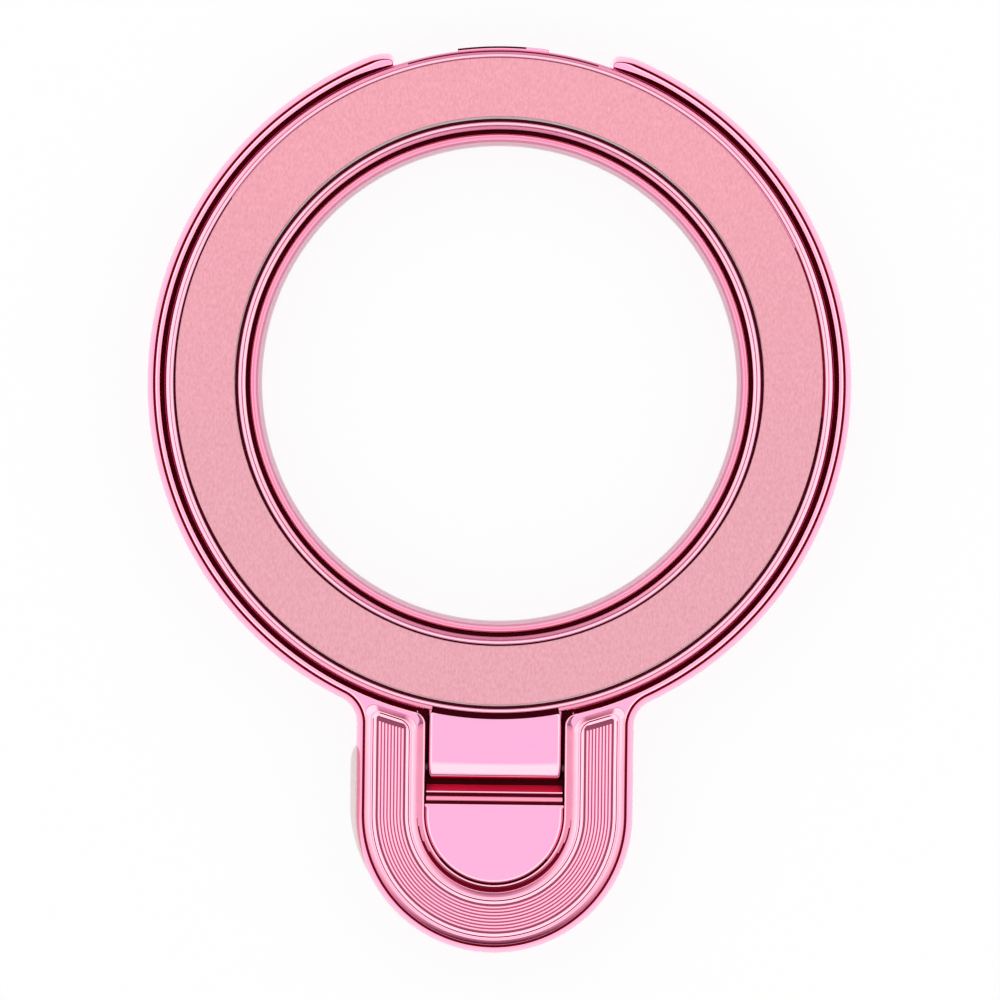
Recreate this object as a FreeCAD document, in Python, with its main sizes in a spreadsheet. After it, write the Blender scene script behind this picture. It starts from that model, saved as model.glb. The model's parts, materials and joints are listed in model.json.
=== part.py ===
import FreeCAD, Part
import math
import os
import re

import Sketcher

# A flip-ring stand that sticks to the back of a phone. The round tray lies with its adhesive on z = 0, the
# tab with the hinge points to -Y, and the ring swings up out of the tray about a pin along X.

# Driving dimensions, in millimetres and degrees.
SIZES = {
    # Moving ring
    "ring_outer_radius": 29.55,
    "ring_width": 7.0,
    "ring_thickness": 2.5,
    "ring_float": 0.2,
    "outer_flange_width": 0.35,
    "inner_flange_width": 0.28,
    "rim_width": 0.4,
    "rim_rise": 0.35,
    "rim_slope": 0.08,
    "lip_half_angle": 7.8,
    "lip_reach": 0.3,
    "lip_thickness": 1.1,
    "lip_below_flange": 0.5,
    # Facing pad and magnets
    "pad_gap": 0.22,
    "pad_thickness": 0.3,
    "pad_shift_left": 0.08,
    "pad_shift_up": 0.1,
    "channel_margin": 0.8,
    "channel_depth": 1.5,
    "magnet_gap": 0.1,
    "magnet_headroom": 0.05,
    "magnet_spacing": 0.7,
    # Tray
    "adhesive_thickness": 0.5,
    "floor_thickness": 1.0,
    "wall_height": 2.8,
    "wall_width": 1.2,
    "wall_draft": 10.0,
    "rim_bevel": 0.35,
    "ring_gap": 0.5,
    "collar_gap": 0.45,
    "collar_width": 0.7,
    "collar_draft": 6.0,
    "collar_bevel": 0.25,
    "foot_width": 0.35,
    "foot_thickness": 0.7,
    "opening_half_angle": 18.3,
    "opening_flare": 3.9,
    "opening_edge": 0.15,
    "opening_round": 0.6,
    # Tab and ribbed band
    "tab_beyond_hinge": 4.2,
    "tab_fillet": 2.4,
    "slot_corner_round": 1.1,
    "inner_strip_width": 0.7,
    "band_width": 4.6,
    "outer_strip_width": 0.8,
    "band_rise": 0.35,
    "band_bevel": 0.28,
    "band_corner_round": 0.9,
    "band_end_gap": 0.5,
    "panel_width": 3.2,
    "panel_depth": 0.08,
    "panel_end_margin": 0.5,
    "panel_corner_round": 0.6,
    "groove_width": 2.6,
    "groove_depth": 0.12,
    "groove_end_margin": 0.3,
    "groove_corner_round": 0.35,
    "rib_pitch": 0.29,
    "rib_height": 0.1,
    "rib_end_margin": 0.4,
    # Hinge
    "neck_width": 11.7,
    "neck_gap": 0.35,
    "neck_drop": 0.2,
    "neck_bevel": 0.3,
    "neck_ramp": 0.7,
    "hinge_beyond_ring": 4.5,
    "hinge_well": 0.2,
    "knuckle_gap": 0.55,
    "pin_radius": 0.55,
    "pin_clearance": 0.03,
    "pin_seat_gap": 0.02,
    "pin_bore_depth": 3.8,
    "pin_recess": 0.3,
    # Cover behind the hinge
    "cover_gap": 0.1,
    "cover_drop": 0.2,
    "cover_front_bevel": 0.4,
    "cover_edge_bevel": 0.2,
    "bead_radius": 0.4,
    "bead_rise": 0.2,
    "bead_setback": 1.08,
    "bead_end_margin": 0.3,
    # Adhesive under the tray and under the tab
    "adhesive_inset": 0.3,
    "patch_radius": 12.0,
    "patch_lift": 0.85,
    "patch_shift_left": 0.8,
    "patch_ring_gap": 1.8,
    "patch_corner_round": 2.5,
}
MAGNET_COUNT = 16
RIB_COUNT = 8

# Sizes that follow from the driving ones.
FITS = {
    "ring_inner_radius": "ring_outer_radius - ring_width",
    "hinge_reach": "ring_outer_radius + hinge_beyond_ring",
    "tab_reach": "hinge_reach + tab_beyond_hinge",
    "wall_inner": "ring_outer_radius + ring_gap",
    "tray_radius": "wall_inner + wall_width",
    "collar_outer": "ring_inner_radius - collar_gap",
    "collar_foot": "collar_outer - collar_width",
    "hole_radius": "collar_foot - foot_width",
    "floor_top": "adhesive_thickness + floor_thickness",
    "foot_top": "adhesive_thickness + foot_thickness",
    "rim_top": "floor_top + wall_height",
    "collar_top_radius": "collar_foot + (rim_top - foot_top) * tan(collar_draft)",
    "opening_radius": "ring_outer_radius + opening_edge",
    "opening_half": "opening_radius * sin(opening_half_angle)",
    "opening_level": "tray_radius * cos(opening_half_angle + opening_flare)",
    "ring_bottom": "floor_top + ring_float",
    "flange_top": "ring_bottom + ring_thickness",
    "ring_top": "flange_top + rim_rise",
    "outer_step": "ring_outer_radius - outer_flange_width",
    "inner_step": "ring_inner_radius + inner_flange_width",
    "recess_outer": "outer_step - rim_width",
    "recess_inner": "inner_step + rim_width",
    "channel_outer": "recess_outer - channel_margin",
    "channel_inner": "recess_inner + channel_margin",
    "channel_floor": "flange_top - channel_depth",
    "magnet_angle": "360 deg / magnet_count - 2 * asin(magnet_spacing / 2 / channel_inner)",
    "neck_top": "flange_top - neck_drop",
    "knuckle_radius": "(neck_top - ring_bottom) / 2",
    "hinge_height": "(neck_top + ring_bottom) / 2",
    "slot_half": "neck_width / 2 + neck_gap",
    "band_radius": "slot_half + inner_strip_width + band_width / 2",
    "tab_radius": "band_radius + band_width / 2 + outer_strip_width",
    "well_floor": "floor_top - hinge_well",
    "cover_front": "hinge_reach + knuckle_radius + knuckle_gap",
    "cover_top": "rim_top - cover_drop",
    "cover_radius": "slot_half - cover_gap",
    "bead_height": "cover_top + bead_rise - bead_radius",
    "band_top": "rim_top + band_rise",
    "band_end": "wall_inner + band_end_gap",
    "panel_end": "band_end + panel_end_margin",
    "panel_floor": "band_top - panel_depth",
    "groove_end": "panel_end + groove_end_margin",
    "groove_floor": "panel_floor - groove_depth",
    "rib_end": "groove_end + rib_end_margin",
    "patch_reach": "tab_reach - patch_lift",
    "top_reach": "ring_outer_radius + lip_reach",
    "ring_y": "(tab_reach + tab_radius - top_reach) / 2",
}

# Sketcher's numbers for the sketch's own origin and axes, and for the points of an edge.
ROOT = H_AXIS = -1
V_AXIS = H_AXIS - 1
START, END, CENTRE = range(1, 4)

# How far cutting profiles reach past the solid.
OVERCUT = 2.0
TOLERANCE = 1e-4

doc = FreeCAD.newDocument("phone_stand")


def fill_sheet(name, rows):
    """Makes a spreadsheet with one named cell for each row."""
    sheet = doc.addObject("Spreadsheet::Sheet", name)
    for row, (alias, content) in enumerate(rows.items(), start=1):
        sheet.set(f"A{row}", alias)
        sheet.set(f"B{row}", str(content))
        sheet.setAlias(f"B{row}", alias)
    doc.recompute()
    return sheet


def bind(formula):
    """Puts the sheet's name before every named size in a formula."""

    def full_name(found):
        word = found.group(0)
        if word in SIZES or word == "magnet_count":
            return f"Sizes.{word}"
        return f"Fits.{word}" if word in FITS else word

    return re.sub(r"[a-z_]+", full_name, formula)


def worth(formula):
    """Gives the number that a formula of named sizes stands for."""
    return float(fits.evalExpression(bind(formula)))


fill_sheet("Sizes", {**SIZES, "magnet_count": MAGNET_COUNT})
formulas = {alias: f"={bind(formula)}".replace("Fits.", "") for alias, formula in FITS.items()}
fits = fill_sheet("Fits", formulas)


def new_body(label):
    """Makes a body whose own origin is the ring's centre on the surface that the stand lies on."""
    body = doc.addObject("PartDesign::Body", label)
    body.Label = label
    body.setExpression("Placement.Base.y", bind("ring_y"))
    return body


def origin_plane(body, role):
    """Finds one of a body's own origin planes or axes."""
    return next(feature for feature in body.Origin.OriginFeatures if feature.Role == role)


def new_sketch(body, name, role, lift="0"):
    """Attaches a sketch to an origin plane of its body, moved along the plane's normal."""
    sketch = body.newObject("Sketcher::SketchObject", name)
    sketch.AttachmentSupport = [(origin_plane(body, role), "")]
    sketch.MapMode = "FlatFace"
    if lift != "0":
        sketch.setExpression("AttachmentOffset.Base.z", bind(lift))
    return sketch


def tie(sketch, kind, where, formula):
    """Adds a dimension to a sketch and binds it to a formula."""
    index = sketch.addConstraint(Sketcher.Constraint(kind, *where, worth(formula)))
    sketch.setExpression(f"Constraints[{index}]", bind(formula))


def pin_point(sketch, geo, point, x, y):
    """Ties a point of a sketch to its two distances from the sketch's origin."""
    for kind, axis, formula in (("DistanceX", V_AXIS, x), ("DistanceY", H_AXIS, y)):
        if formula == "0":
            sketch.addConstraint(Sketcher.Constraint("PointOnObject", geo, point, axis))
        else:
            tie(sketch, kind, (ROOT, START, geo, point), formula)


def join(sketch, kind, *ends):
    """Adds a relation, such as Coincident or Tangent, between ends of edges."""
    sketch.addConstraint(Sketcher.Constraint(kind, *ends))


def spot(x, y):
    """Gives the point of a sketch at two formulas."""
    return FreeCAD.Vector(worth(x), worth(y), 0)


def polygon(sketch, points):
    """Draws a closed outline of straight lines through tied points."""
    first = sketch.GeometryCount
    spots = [spot(x, y) for x, y in points]
    for here, there in zip(spots, spots[1:] + spots[:1]):
        sketch.addGeometry(Part.LineSegment(here, there))
    for index, (x, y) in enumerate(points):
        before = first + (index - 1) % len(points)
        join(sketch, "Coincident", before, END, first + index, START)
        pin_point(sketch, first + index, START, x, y)


def circle(sketch, x, y, radius):
    """Draws a circle with a tied centre and radius."""
    geo = sketch.addGeometry(Part.Circle(spot(x, y), FreeCAD.Vector(0, 0, 1), worth(radius)))
    pin_point(sketch, geo, CENTRE, x, y)
    tie(sketch, "Radius", (geo,), radius)


def arc(sketch, centre, radius, start_deg, end_deg):
    """Draws an arc, counter-clockwise, with a tied radius."""
    round_edge = Part.Circle(centre, FreeCAD.Vector(0, 0, 1), worth(radius))
    geo = sketch.addGeometry(Part.ArcOfCircle(round_edge, math.radians(start_deg), math.radians(end_deg)))
    tie(sketch, "Radius", (geo,), radius)
    return geo


def line(sketch, here, there):
    """Draws a straight edge between two points."""
    return sketch.addGeometry(Part.LineSegment(here, there))


def round_ended(sketch, x, y, radius, end, upward):
    """Draws a straight-sided outline with one half-round end about (x, y) and a flat end at end.

    The flat end lies above the half round where upward is true, and to its right where it isn't.
    """
    centre = spot(x, y)
    reach = worth(radius)
    if upward:
        sides = (FreeCAD.Vector(-reach, 0, 0), FreeCAD.Vector(reach, 0, 0))
        run = FreeCAD.Vector(0, worth(end) - centre.y, 0)
        along, across, kind, first_deg = "Vertical", "Horizontal", "DistanceY", 180
    else:
        sides = (FreeCAD.Vector(0, reach, 0), FreeCAD.Vector(0, -reach, 0))
        run = FreeCAD.Vector(worth(end) - centre.x, 0, 0)
        along, across, kind, first_deg = "Horizontal", "Vertical", "DistanceX", 90
    bend = arc(sketch, centre, radius, first_deg, first_deg + 180)
    pin_point(sketch, bend, CENTRE, x, y)
    near = line(sketch, centre + sides[0], centre + sides[0] + run)
    far = line(sketch, centre + sides[1], centre + sides[1] + run)
    flat = line(sketch, centre + sides[0] + run, centre + sides[1] + run)
    for side, point in ((near, START), (far, END)):
        join(sketch, along, side)
        join(sketch, "Tangent", side, START, bend, point)
    join(sketch, "Coincident", near, END, flat, START)
    join(sketch, "Coincident", far, END, flat, END)
    join(sketch, across, flat)
    tie(sketch, kind, (ROOT, START, flat, START), end)


def u_band(sketch, width, end_radius):
    """Draws a U-shaped outline about the tab's round end, with arms that stop at a radius about the ring."""
    inner = f"band_radius - {width} / 2"
    outer = f"band_radius + {width} / 2"
    centre = spot("0", "-tab_reach")
    arcs = {}
    for radius in (inner, outer):
        arcs[radius] = arc(sketch, centre, radius, 180, 360)
        pin_point(sketch, arcs[radius], CENTRE, "0", "-tab_reach")
    for side, arc_end in ((-1, START), (1, END)):
        arms = []
        tops = []
        for radius in (inner, outer):
            x = side * worth(radius)
            top = FreeCAD.Vector(x, -math.sqrt(worth(end_radius) ** 2 - x**2), 0)
            arm = line(sketch, FreeCAD.Vector(x, centre.y, 0), top)
            join(sketch, "Vertical", arm)
            join(sketch, "Tangent", arm, START, arcs[radius], arc_end)
            arms.append(arm)
            tops.append(top)
        end = line(sketch, *tops)
        for arm, point in zip(arms, (START, END)):
            join(sketch, "Coincident", arm, END, end, point)
            tie(sketch, "Distance", (ROOT, START, end, point), end_radius)


def add_feature(body, kind, name, sketch, bound, **plain):
    """Adds a feature made from a sketch, with some properties bound to formulas and some set plainly."""
    feature = body.newObject(f"PartDesign::{kind}", name)
    feature.Profile = sketch
    for key, content in plain.items():
        setattr(feature, key, content)
    for key, formula in bound.items():
        feature.setExpression(key, bind(formula))
    sketch.Visibility = False
    body.Tip = feature
    doc.recompute()
    return feature


def turn(body, kind, name, sketch, angle="360", **plain):
    """Adds a feature that turns a sketch about its own vertical axis."""
    axis = (sketch, ["V_Axis"])
    return add_feature(body, kind, name, sketch, {"Angle": angle}, ReferenceAxis=axis, **plain)


def edges_where(feature, test):
    """Names the edges of a feature that pass a test."""
    return [f"Edge{number}" for number, edge in enumerate(feature.Shape.Edges, start=1) if test(edge)]


def dress_edges(body, kind, size_name, name, test, size):
    """Puts a fillet or chamfer on the edges of the body's last feature that pass a test."""
    base = body.Tip
    dressing = body.newObject(f"PartDesign::{kind}", name)
    dressing.Base = (base, edges_where(base, test))
    dressing.setExpression(size_name, bind(size))
    body.Tip = dressing
    doc.recompute()


def round_edges(body, name, test, radius):
    """Rounds the edges that pass a test."""
    dress_edges(body, "Fillet", "Radius", name, test, radius)


def bevel_edges(body, name, test, width):
    """Bevels the edges that pass a test."""
    dress_edges(body, "Chamfer", "Size", name, test, width)


def at_height(edge, formula):
    """True where the whole edge lies at one height."""
    height = worth(formula)
    box = edge.BoundBox
    return abs(box.ZMin - height) < TOLERANCE and abs(box.ZMax - height) < TOLERANCE


def upright(edge):
    """True for an edge that rises more than it runs."""
    box = edge.BoundBox
    return box.ZLength > max(box.XLength, box.YLength)


def from_centre(point):
    """Gives a point's distance from the ring's own axis."""
    return math.hypot(point.x, point.y)


def make_tray():
    """The fixed moulding: round tray with collar and C-shaped wall, and the tab with its ribbed band."""
    body = new_body("base_tray")
    draw_tray_outline(body)
    cut_track(body)
    cut_hinge_well(body)
    cut_opening(body)
    round_tray(body)
    raise_band(body)
    raise_ribs(body)
    bore_pin_seat(body)
    return body


def draw_tray_outline(body):
    """The drafted slab that the tray is cut from: a disc, run into the round-ended tab by two fillets."""
    sketch = new_sketch(body, "tray_outline", "XY_Plane", "adhesive_thickness")
    fillet_x = worth("tab_radius + tab_fillet")
    fillet_y = -math.sqrt(worth("tray_radius + tab_fillet") ** 2 - fillet_x**2)
    meet_deg = math.degrees(math.atan2(-fillet_y, fillet_x))
    disc = arc(sketch, FreeCAD.Vector(), "tray_radius", -meet_deg, 180 + meet_deg)
    join(sketch, "Coincident", disc, CENTRE, ROOT, START)
    tab = arc(sketch, spot("0", "-tab_reach"), "tab_radius", 180, 360)
    pin_point(sketch, tab, CENTRE, "0", "-tab_reach")
    right = arc(sketch, FreeCAD.Vector(fillet_x, fillet_y, 0), "tab_fillet", 180 - meet_deg, 180)
    left = arc(sketch, FreeCAD.Vector(-fillet_x, fillet_y, 0), "tab_fillet", 0, meet_deg)
    side_x = worth("tab_radius")
    low = worth("-tab_reach")
    right_side = line(sketch, FreeCAD.Vector(side_x, fillet_y, 0), FreeCAD.Vector(side_x, low, 0))
    left_side = line(sketch, FreeCAD.Vector(-side_x, low, 0), FreeCAD.Vector(-side_x, fillet_y, 0))
    join(sketch, "Vertical", right_side)
    join(sketch, "Vertical", left_side)
    join(sketch, "Tangent", disc, START, right, START)
    join(sketch, "Tangent", right, END, right_side, START)
    join(sketch, "Tangent", right_side, END, tab, END)
    join(sketch, "Tangent", tab, START, left_side, START)
    join(sketch, "Tangent", left_side, END, left, START)
    join(sketch, "Tangent", left, END, disc, END)
    height = {"Length": "rim_top - adhesive_thickness", "TaperAngle": "-wall_draft"}
    add_feature(body, "Pad", "tray_slab", sketch, height)


def cut_track(body):
    """The ring's track and the round hole, which leave the collar between them."""
    sketch = new_sketch(body, "track_section", "XZ_Plane")
    above = f"rim_top + {OVERCUT}"
    below = f"adhesive_thickness - {OVERCUT}"
    polygon(
        sketch,
        [
            ("collar_outer", "floor_top"),
            ("wall_inner", "floor_top"),
            ("wall_inner", above),
            ("collar_outer", above),
        ],
    )
    polygon(
        sketch,
        [
            ("0", below),
            ("hole_radius", below),
            ("hole_radius", "foot_top"),
            ("collar_foot", "foot_top"),
            ("collar_top_radius", "rim_top"),
            ("collar_top_radius", above),
            ("0", above),
        ],
    )
    turn(body, "Groove", "track", sketch)


def cut_hinge_well(body):
    """The slot that takes the neck, the knuckle and the cover."""
    sketch = new_sketch(body, "well_outline", "XY_Plane", "rim_top")
    round_ended(sketch, "0", "-tab_reach", "slot_half", f"{OVERCUT} - wall_inner", True)
    add_feature(body, "Pocket", "hinge_well", sketch, {"Length": "rim_top - well_floor"})


def cut_opening(body):
    """The opening at the top of the wall, where a fingernail lifts the ring.

    Each end of the wall is cut off level and has a round tip.
    """
    sketch = new_sketch(body, "opening_outline", "XY_Plane", "rim_top")
    half_deg = worth("opening_half_angle")
    inner = arc(sketch, FreeCAD.Vector(), "opening_radius", 90 - half_deg, 90 + half_deg)
    join(sketch, "Coincident", inner, CENTRE, ROOT, START)
    far_y = f"tray_radius + {OVERCUT}"
    foot_y = "sqrt(opening_radius ^ 2 - opening_half ^ 2)"
    bend_y = "opening_level - opening_round"
    far = line(sketch, spot("tray_radius", far_y), spot("-tray_radius", far_y))
    pin_point(sketch, far, START, "tray_radius", far_y)
    pin_point(sketch, far, END, "-tray_radius", far_y)
    for sign, first_deg, inner_end, far_end in (("", 90, START, START), ("-", 0, END, END)):
        edge_x = f"{sign}opening_half"
        bend_x = f"{sign}(opening_half + opening_round)"
        far_x = f"{sign}tray_radius"
        side = line(sketch, spot(edge_x, foot_y), spot(edge_x, bend_y))
        tip = arc(sketch, spot(bend_x, bend_y), "opening_round", first_deg, first_deg + 90)
        level = line(sketch, spot(bend_x, "opening_level"), spot(far_x, "opening_level"))
        rise = line(sketch, spot(far_x, "opening_level"), spot(far_x, far_y))
        side_end, level_end = (END, START) if sign == "" else (START, END)
        join(sketch, "Vertical", side)
        join(sketch, "Coincident", side, START, inner, inner_end)
        join(sketch, "Tangent", side, END, tip, side_end)
        join(sketch, "Tangent", tip, level_end, level, START)
        join(sketch, "Coincident", level, END, rise, START)
        join(sketch, "Coincident", rise, END, far, far_end)
        pin_point(sketch, rise, START, far_x, "opening_level")
        tie(sketch, "DistanceX", (ROOT, START, side, END), edge_x)
    add_feature(body, "Pocket", "opening", sketch, {}, Type="ThroughAll")


def round_tray(body):
    """The bevelled shoulders of the wall and the collar, and the rounded upright corners."""
    well_side = worth("slot_half")
    track_edge = worth("wall_inner")
    tip_start = worth("opening_level - opening_round")

    def well_corner(edge):
        here = edge.CenterOfMass
        meets_track = abs(from_centre(here) - track_edge) < TOLERANCE
        return upright(edge) and meets_track and abs(abs(here.x) - well_side) < TOLERANCE

    def shoulder(edge):
        here = edge.valueAt(edge.FirstParameter)
        in_well = abs(here.x) < well_side + TOLERANCE and here.y < 0
        on_wall = edge.CenterOfMass.y < tip_start and from_centre(here) > track_edge + TOLERANCE
        return at_height(edge, "rim_top") and on_wall and not in_well

    def collar_edge(edge):
        here = edge.valueAt(edge.FirstParameter)
        on_collar = abs(from_centre(here) - worth("collar_top_radius")) < TOLERANCE
        return at_height(edge, "rim_top") and on_collar

    round_edges(body, "well_corners", well_corner, "slot_corner_round")
    bevel_edges(body, "collar_shoulder", collar_edge, "collar_bevel")
    bevel_edges(body, "wall_shoulder", shoulder, "rim_bevel")


def raise_band(body):
    """The raised U-shaped band, with a stepped recess for the ribs."""

    def end_corner(top, width):
        sides = [worth(f"band_radius + {sign} * {width} / 2") for sign in (-1, 1)]

        def test(edge):
            here = edge.CenterOfMass
            on_side = min(abs(abs(here.x) - side) for side in sides) < TOLERANCE
            reaches_top = abs(edge.BoundBox.ZMax - worth(top)) < TOLERANCE
            return upright(edge) and on_side and reaches_top and here.y > -worth("hinge_reach")

        return test

    sketch = new_sketch(body, "band_outline", "XY_Plane", "rim_top - rim_bevel")
    u_band(sketch, "band_width", "band_end")
    add_feature(body, "Pad", "band", sketch, {"Length": "band_rise + rim_bevel"})
    round_edges(body, "band_corners", end_corner("band_top", "band_width"), "band_corner_round")
    bevel_edges(body, "band_shoulder", lambda edge: at_height(edge, "band_top"), "band_bevel")
    panel = new_sketch(body, "panel_outline", "XY_Plane", "band_top")
    u_band(panel, "panel_width", "panel_end")
    add_feature(body, "Pocket", "panel", panel, {"Length": "panel_depth"})
    round_edges(body, "panel_corners", end_corner("band_top", "panel_width"), "panel_corner_round")
    groove = new_sketch(body, "groove_outline", "XY_Plane", "band_top")
    u_band(groove, "groove_width", "groove_end")
    add_feature(body, "Pocket", "groove", groove, {"Length": "panel_depth + groove_depth"})
    round_edges(body, "groove_corners", end_corner("panel_floor", "groove_width"), "groove_corner_round")


def raise_ribs(body):
    """The fine ribs that follow the U, as one toothed section turned round the bend and run up both arms."""
    section = new_sketch(body, "rib_section", "XZ_Plane", "tab_reach")
    half = RIB_COUNT / 2
    teeth = [(f"band_radius - {half} * rib_pitch", "groove_floor - groove_depth")]
    for rib in range(RIB_COUNT):
        teeth.append((f"band_radius + {rib - half} * rib_pitch", "groove_floor"))
        teeth.append((f"band_radius + {rib - half + 0.5} * rib_pitch", "groove_floor + rib_height"))
    teeth.append((f"band_radius + {half} * rib_pitch", "groove_floor"))
    teeth.append((f"band_radius + {half} * rib_pitch", "groove_floor - groove_depth"))
    polygon(section, teeth)
    turn(body, "Revolution", "rib_bend", section, "180", Reversed=True)
    longest = f"sqrt(rib_end ^ 2 - (band_radius + {half} * rib_pitch) ^ 2)"
    arm = add_feature(body, "Pad", "rib_arm", section, {"Length": f"tab_reach - {longest}"}, Reversed=True)
    mirror = body.newObject("PartDesign::Mirrored", "rib_arms")
    mirror.Originals = [arm]
    mirror.MirrorPlane = (origin_plane(body, "YZ_Plane"), [""])
    body.Tip = mirror
    doc.recompute()
    trim = new_sketch(body, "rib_end_outline", "XY_Plane", "band_top")
    for side in ("", "-"):
        near = f"{side}(band_radius - groove_width / 2)"
        far = f"{side}(band_radius + groove_width / 2)"
        corners = [(near, "rib_end"), (far, "rib_end"), (far, "groove_end"), (near, "groove_end")]
        polygon(trim, [(x, f"-sqrt({reach} ^ 2 - ({x}) ^ 2)") for x, reach in corners])
    add_feature(body, "Pocket", "rib_ends", trim, {"Length": "panel_depth + groove_depth"})


def bore_pin_seat(body):
    """The bore for the pin, blind in the left arm and open on the right."""
    sketch = new_sketch(body, "pin_seat_circle", "YZ_Plane")
    circle(sketch, "-hinge_reach", "hinge_height", "pin_radius + pin_seat_gap")
    lengths = {"Length": f"tab_radius + {OVERCUT}", "Length2": "slot_half + pin_bore_depth"}
    add_feature(body, "Pocket", "pin_seat", sketch, lengths, SideType="Two sides", Reversed=True)


def make_ring():
    """The moving ring with its stepped rims, pad recess, magnet channel, neck and knuckle."""
    body = new_body("flip_ring")
    section = new_sketch(body, "ring_section", "XZ_Plane")
    polygon(
        section,
        [
            ("ring_inner_radius", "ring_bottom"),
            ("ring_outer_radius", "ring_bottom"),
            ("ring_outer_radius", "flange_top"),
            ("outer_step", "flange_top"),
            ("outer_step - rim_slope", "ring_top"),
            ("recess_outer + rim_slope", "ring_top"),
            ("recess_outer", "flange_top"),
            ("channel_outer", "flange_top"),
            ("channel_outer", "channel_floor"),
            ("channel_inner", "channel_floor"),
            ("channel_inner", "flange_top"),
            ("recess_inner", "flange_top"),
            ("recess_inner - rim_slope", "ring_top"),
            ("inner_step + rim_slope", "ring_top"),
            ("inner_step", "flange_top"),
            ("ring_inner_radius", "flange_top"),
        ],
    )
    turn(body, "Revolution", "ring", section)
    add_neck(body)
    add_lip(body)
    return body


def add_neck(body):
    """The neck with its round knuckle, the ramp up to the rim, and the bore that runs on the pin."""
    side = new_sketch(body, "neck_side", "YZ_Plane")
    root = "-(recess_outer - channel_margin / 2)"
    round_ended(side, "-hinge_reach", "hinge_height", "knuckle_radius", root, False)
    add_feature(body, "Pad", "neck", side, {"Length": "neck_width"}, SideType="Symmetric")
    half = worth("neck_width / 2")

    def neck_edge(edge):
        here = edge.CenterOfMass
        on_side = abs(abs(here.x) - half) < TOLERANCE
        return at_height(edge, "neck_top") and on_side and here.y < -worth("ring_outer_radius")

    bevel_edges(body, "neck_edges", neck_edge, "neck_bevel")
    ramp = new_sketch(body, "ramp_section", "YZ_Plane")
    inside = "outer_step - rim_slope"
    high = "ring_top - rim_slope"
    corners = [(inside, high), ("outer_step + neck_ramp", "neck_top"), (inside, "neck_top")]
    polygon(ramp, [(f"-({reach})", height) for reach, height in corners])
    spread = "2 * asin((neck_width / 2 - neck_bevel) / (outer_step + neck_ramp))"
    turn(body, "Revolution", "neck_ramp", ramp, spread, Midplane=True)
    bore = new_sketch(body, "knuckle_bore_circle", "YZ_Plane")
    circle(bore, "-hinge_reach", "hinge_height", "pin_radius + pin_clearance")
    add_feature(body, "Pocket", "knuckle_bore", bore, {"Length": "2 * neck_width"}, SideType="Symmetric")


def add_lip(body):
    """The small lip at the top of the ring that a fingernail catches."""
    section = new_sketch(body, "lip_section", "YZ_Plane")
    top = "flange_top - lip_below_flange"
    bottom = "flange_top - lip_below_flange - lip_thickness"
    inside = "ring_outer_radius - outer_flange_width"
    outside = "ring_outer_radius + lip_reach"
    polygon(section, [(inside, bottom), (outside, bottom), (outside, top), (inside, top)])
    turn(body, "Revolution", "lift_lip", section, "2 * lip_half_angle", Midplane=True)


def make_cover():
    """The D-shaped plate behind the hinge, with a bead along its straight edge."""
    body = new_body("hinge_cover")
    outline = new_sketch(body, "cover_outline", "XY_Plane", "well_floor")
    round_ended(outline, "0", "-tab_reach", "cover_radius", "-cover_front", True)
    add_feature(body, "Pad", "cover", outline, {"Length": "cover_top - well_floor"})
    front = worth("-cover_front")

    def front_edge(edge):
        return at_height(edge, "cover_top") and abs(edge.CenterOfMass.y - front) < TOLERANCE

    bevel_edges(body, "cover_front_edge", front_edge, "cover_front_bevel")

    def back_edge(edge):
        return at_height(edge, "cover_top") and edge.CenterOfMass.y < -worth("tab_reach")

    bevel_edges(body, "cover_edge", back_edge, "cover_edge_bevel")
    bead = new_sketch(body, "bead_circle", "YZ_Plane")
    circle(bead, "-(cover_front + bead_setback)", "bead_height", "bead_radius")
    length = {"Length": "2 * (cover_radius - bead_end_margin)"}
    add_feature(body, "Pad", "bead", bead, length, SideType="Symmetric")
    return body


def make_pin():
    """The steel pin, from the blind end of its seat to just inside the right flank."""
    pin = doc.addObject("Part::Cylinder", "hinge_pin")
    pin.Label = "hinge_pin"
    left_end = "slot_half + pin_bore_depth - pin_recess"
    flank = "tab_radius - (hinge_height - adhesive_thickness) * tan(wall_draft)"
    pin.setExpression("Radius", bind("pin_radius"))
    pin.setExpression("Height", bind(f"{left_end} + {flank} - pin_recess"))
    pin.Placement = FreeCAD.Placement(FreeCAD.Vector(), FreeCAD.Rotation(FreeCAD.Vector(0, 1, 0), 90))
    pin.setExpression("Placement.Base.x", bind(f"-({left_end})"))
    pin.setExpression("Placement.Base.y", bind("ring_y - hinge_reach"))
    pin.setExpression("Placement.Base.z", bind("hinge_height"))
    return pin


def make_annulus(label, centre, inner, outer, bottom, thickness):
    """A flat ring cut from sheet."""
    body = new_body(label)
    sketch = new_sketch(body, f"{label}_outline", "XY_Plane", bottom)
    for radius in (inner, outer):
        circle(sketch, *centre, radius)
    add_feature(body, "Pad", f"{label}_sheet", sketch, {"Length": thickness})
    return body


def make_patch():
    """The adhesive patch under the tab, a little off to the left."""
    body = new_body("adhesive_tab")
    sketch = new_sketch(body, "patch_outline", "XY_Plane")
    top = "-(opening_radius - adhesive_inset + patch_ring_gap)"
    round_ended(sketch, "-patch_shift_left", "-patch_reach", "patch_radius", top, True)
    add_feature(body, "Pad", "patch", sketch, {"Length": "adhesive_thickness"})

    def top_corner(edge):
        return upright(edge) and abs(edge.CenterOfMass.y - worth(top)) < TOLERANCE

    round_edges(body, "patch_corners", top_corner, "patch_corner_round")
    return body


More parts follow.
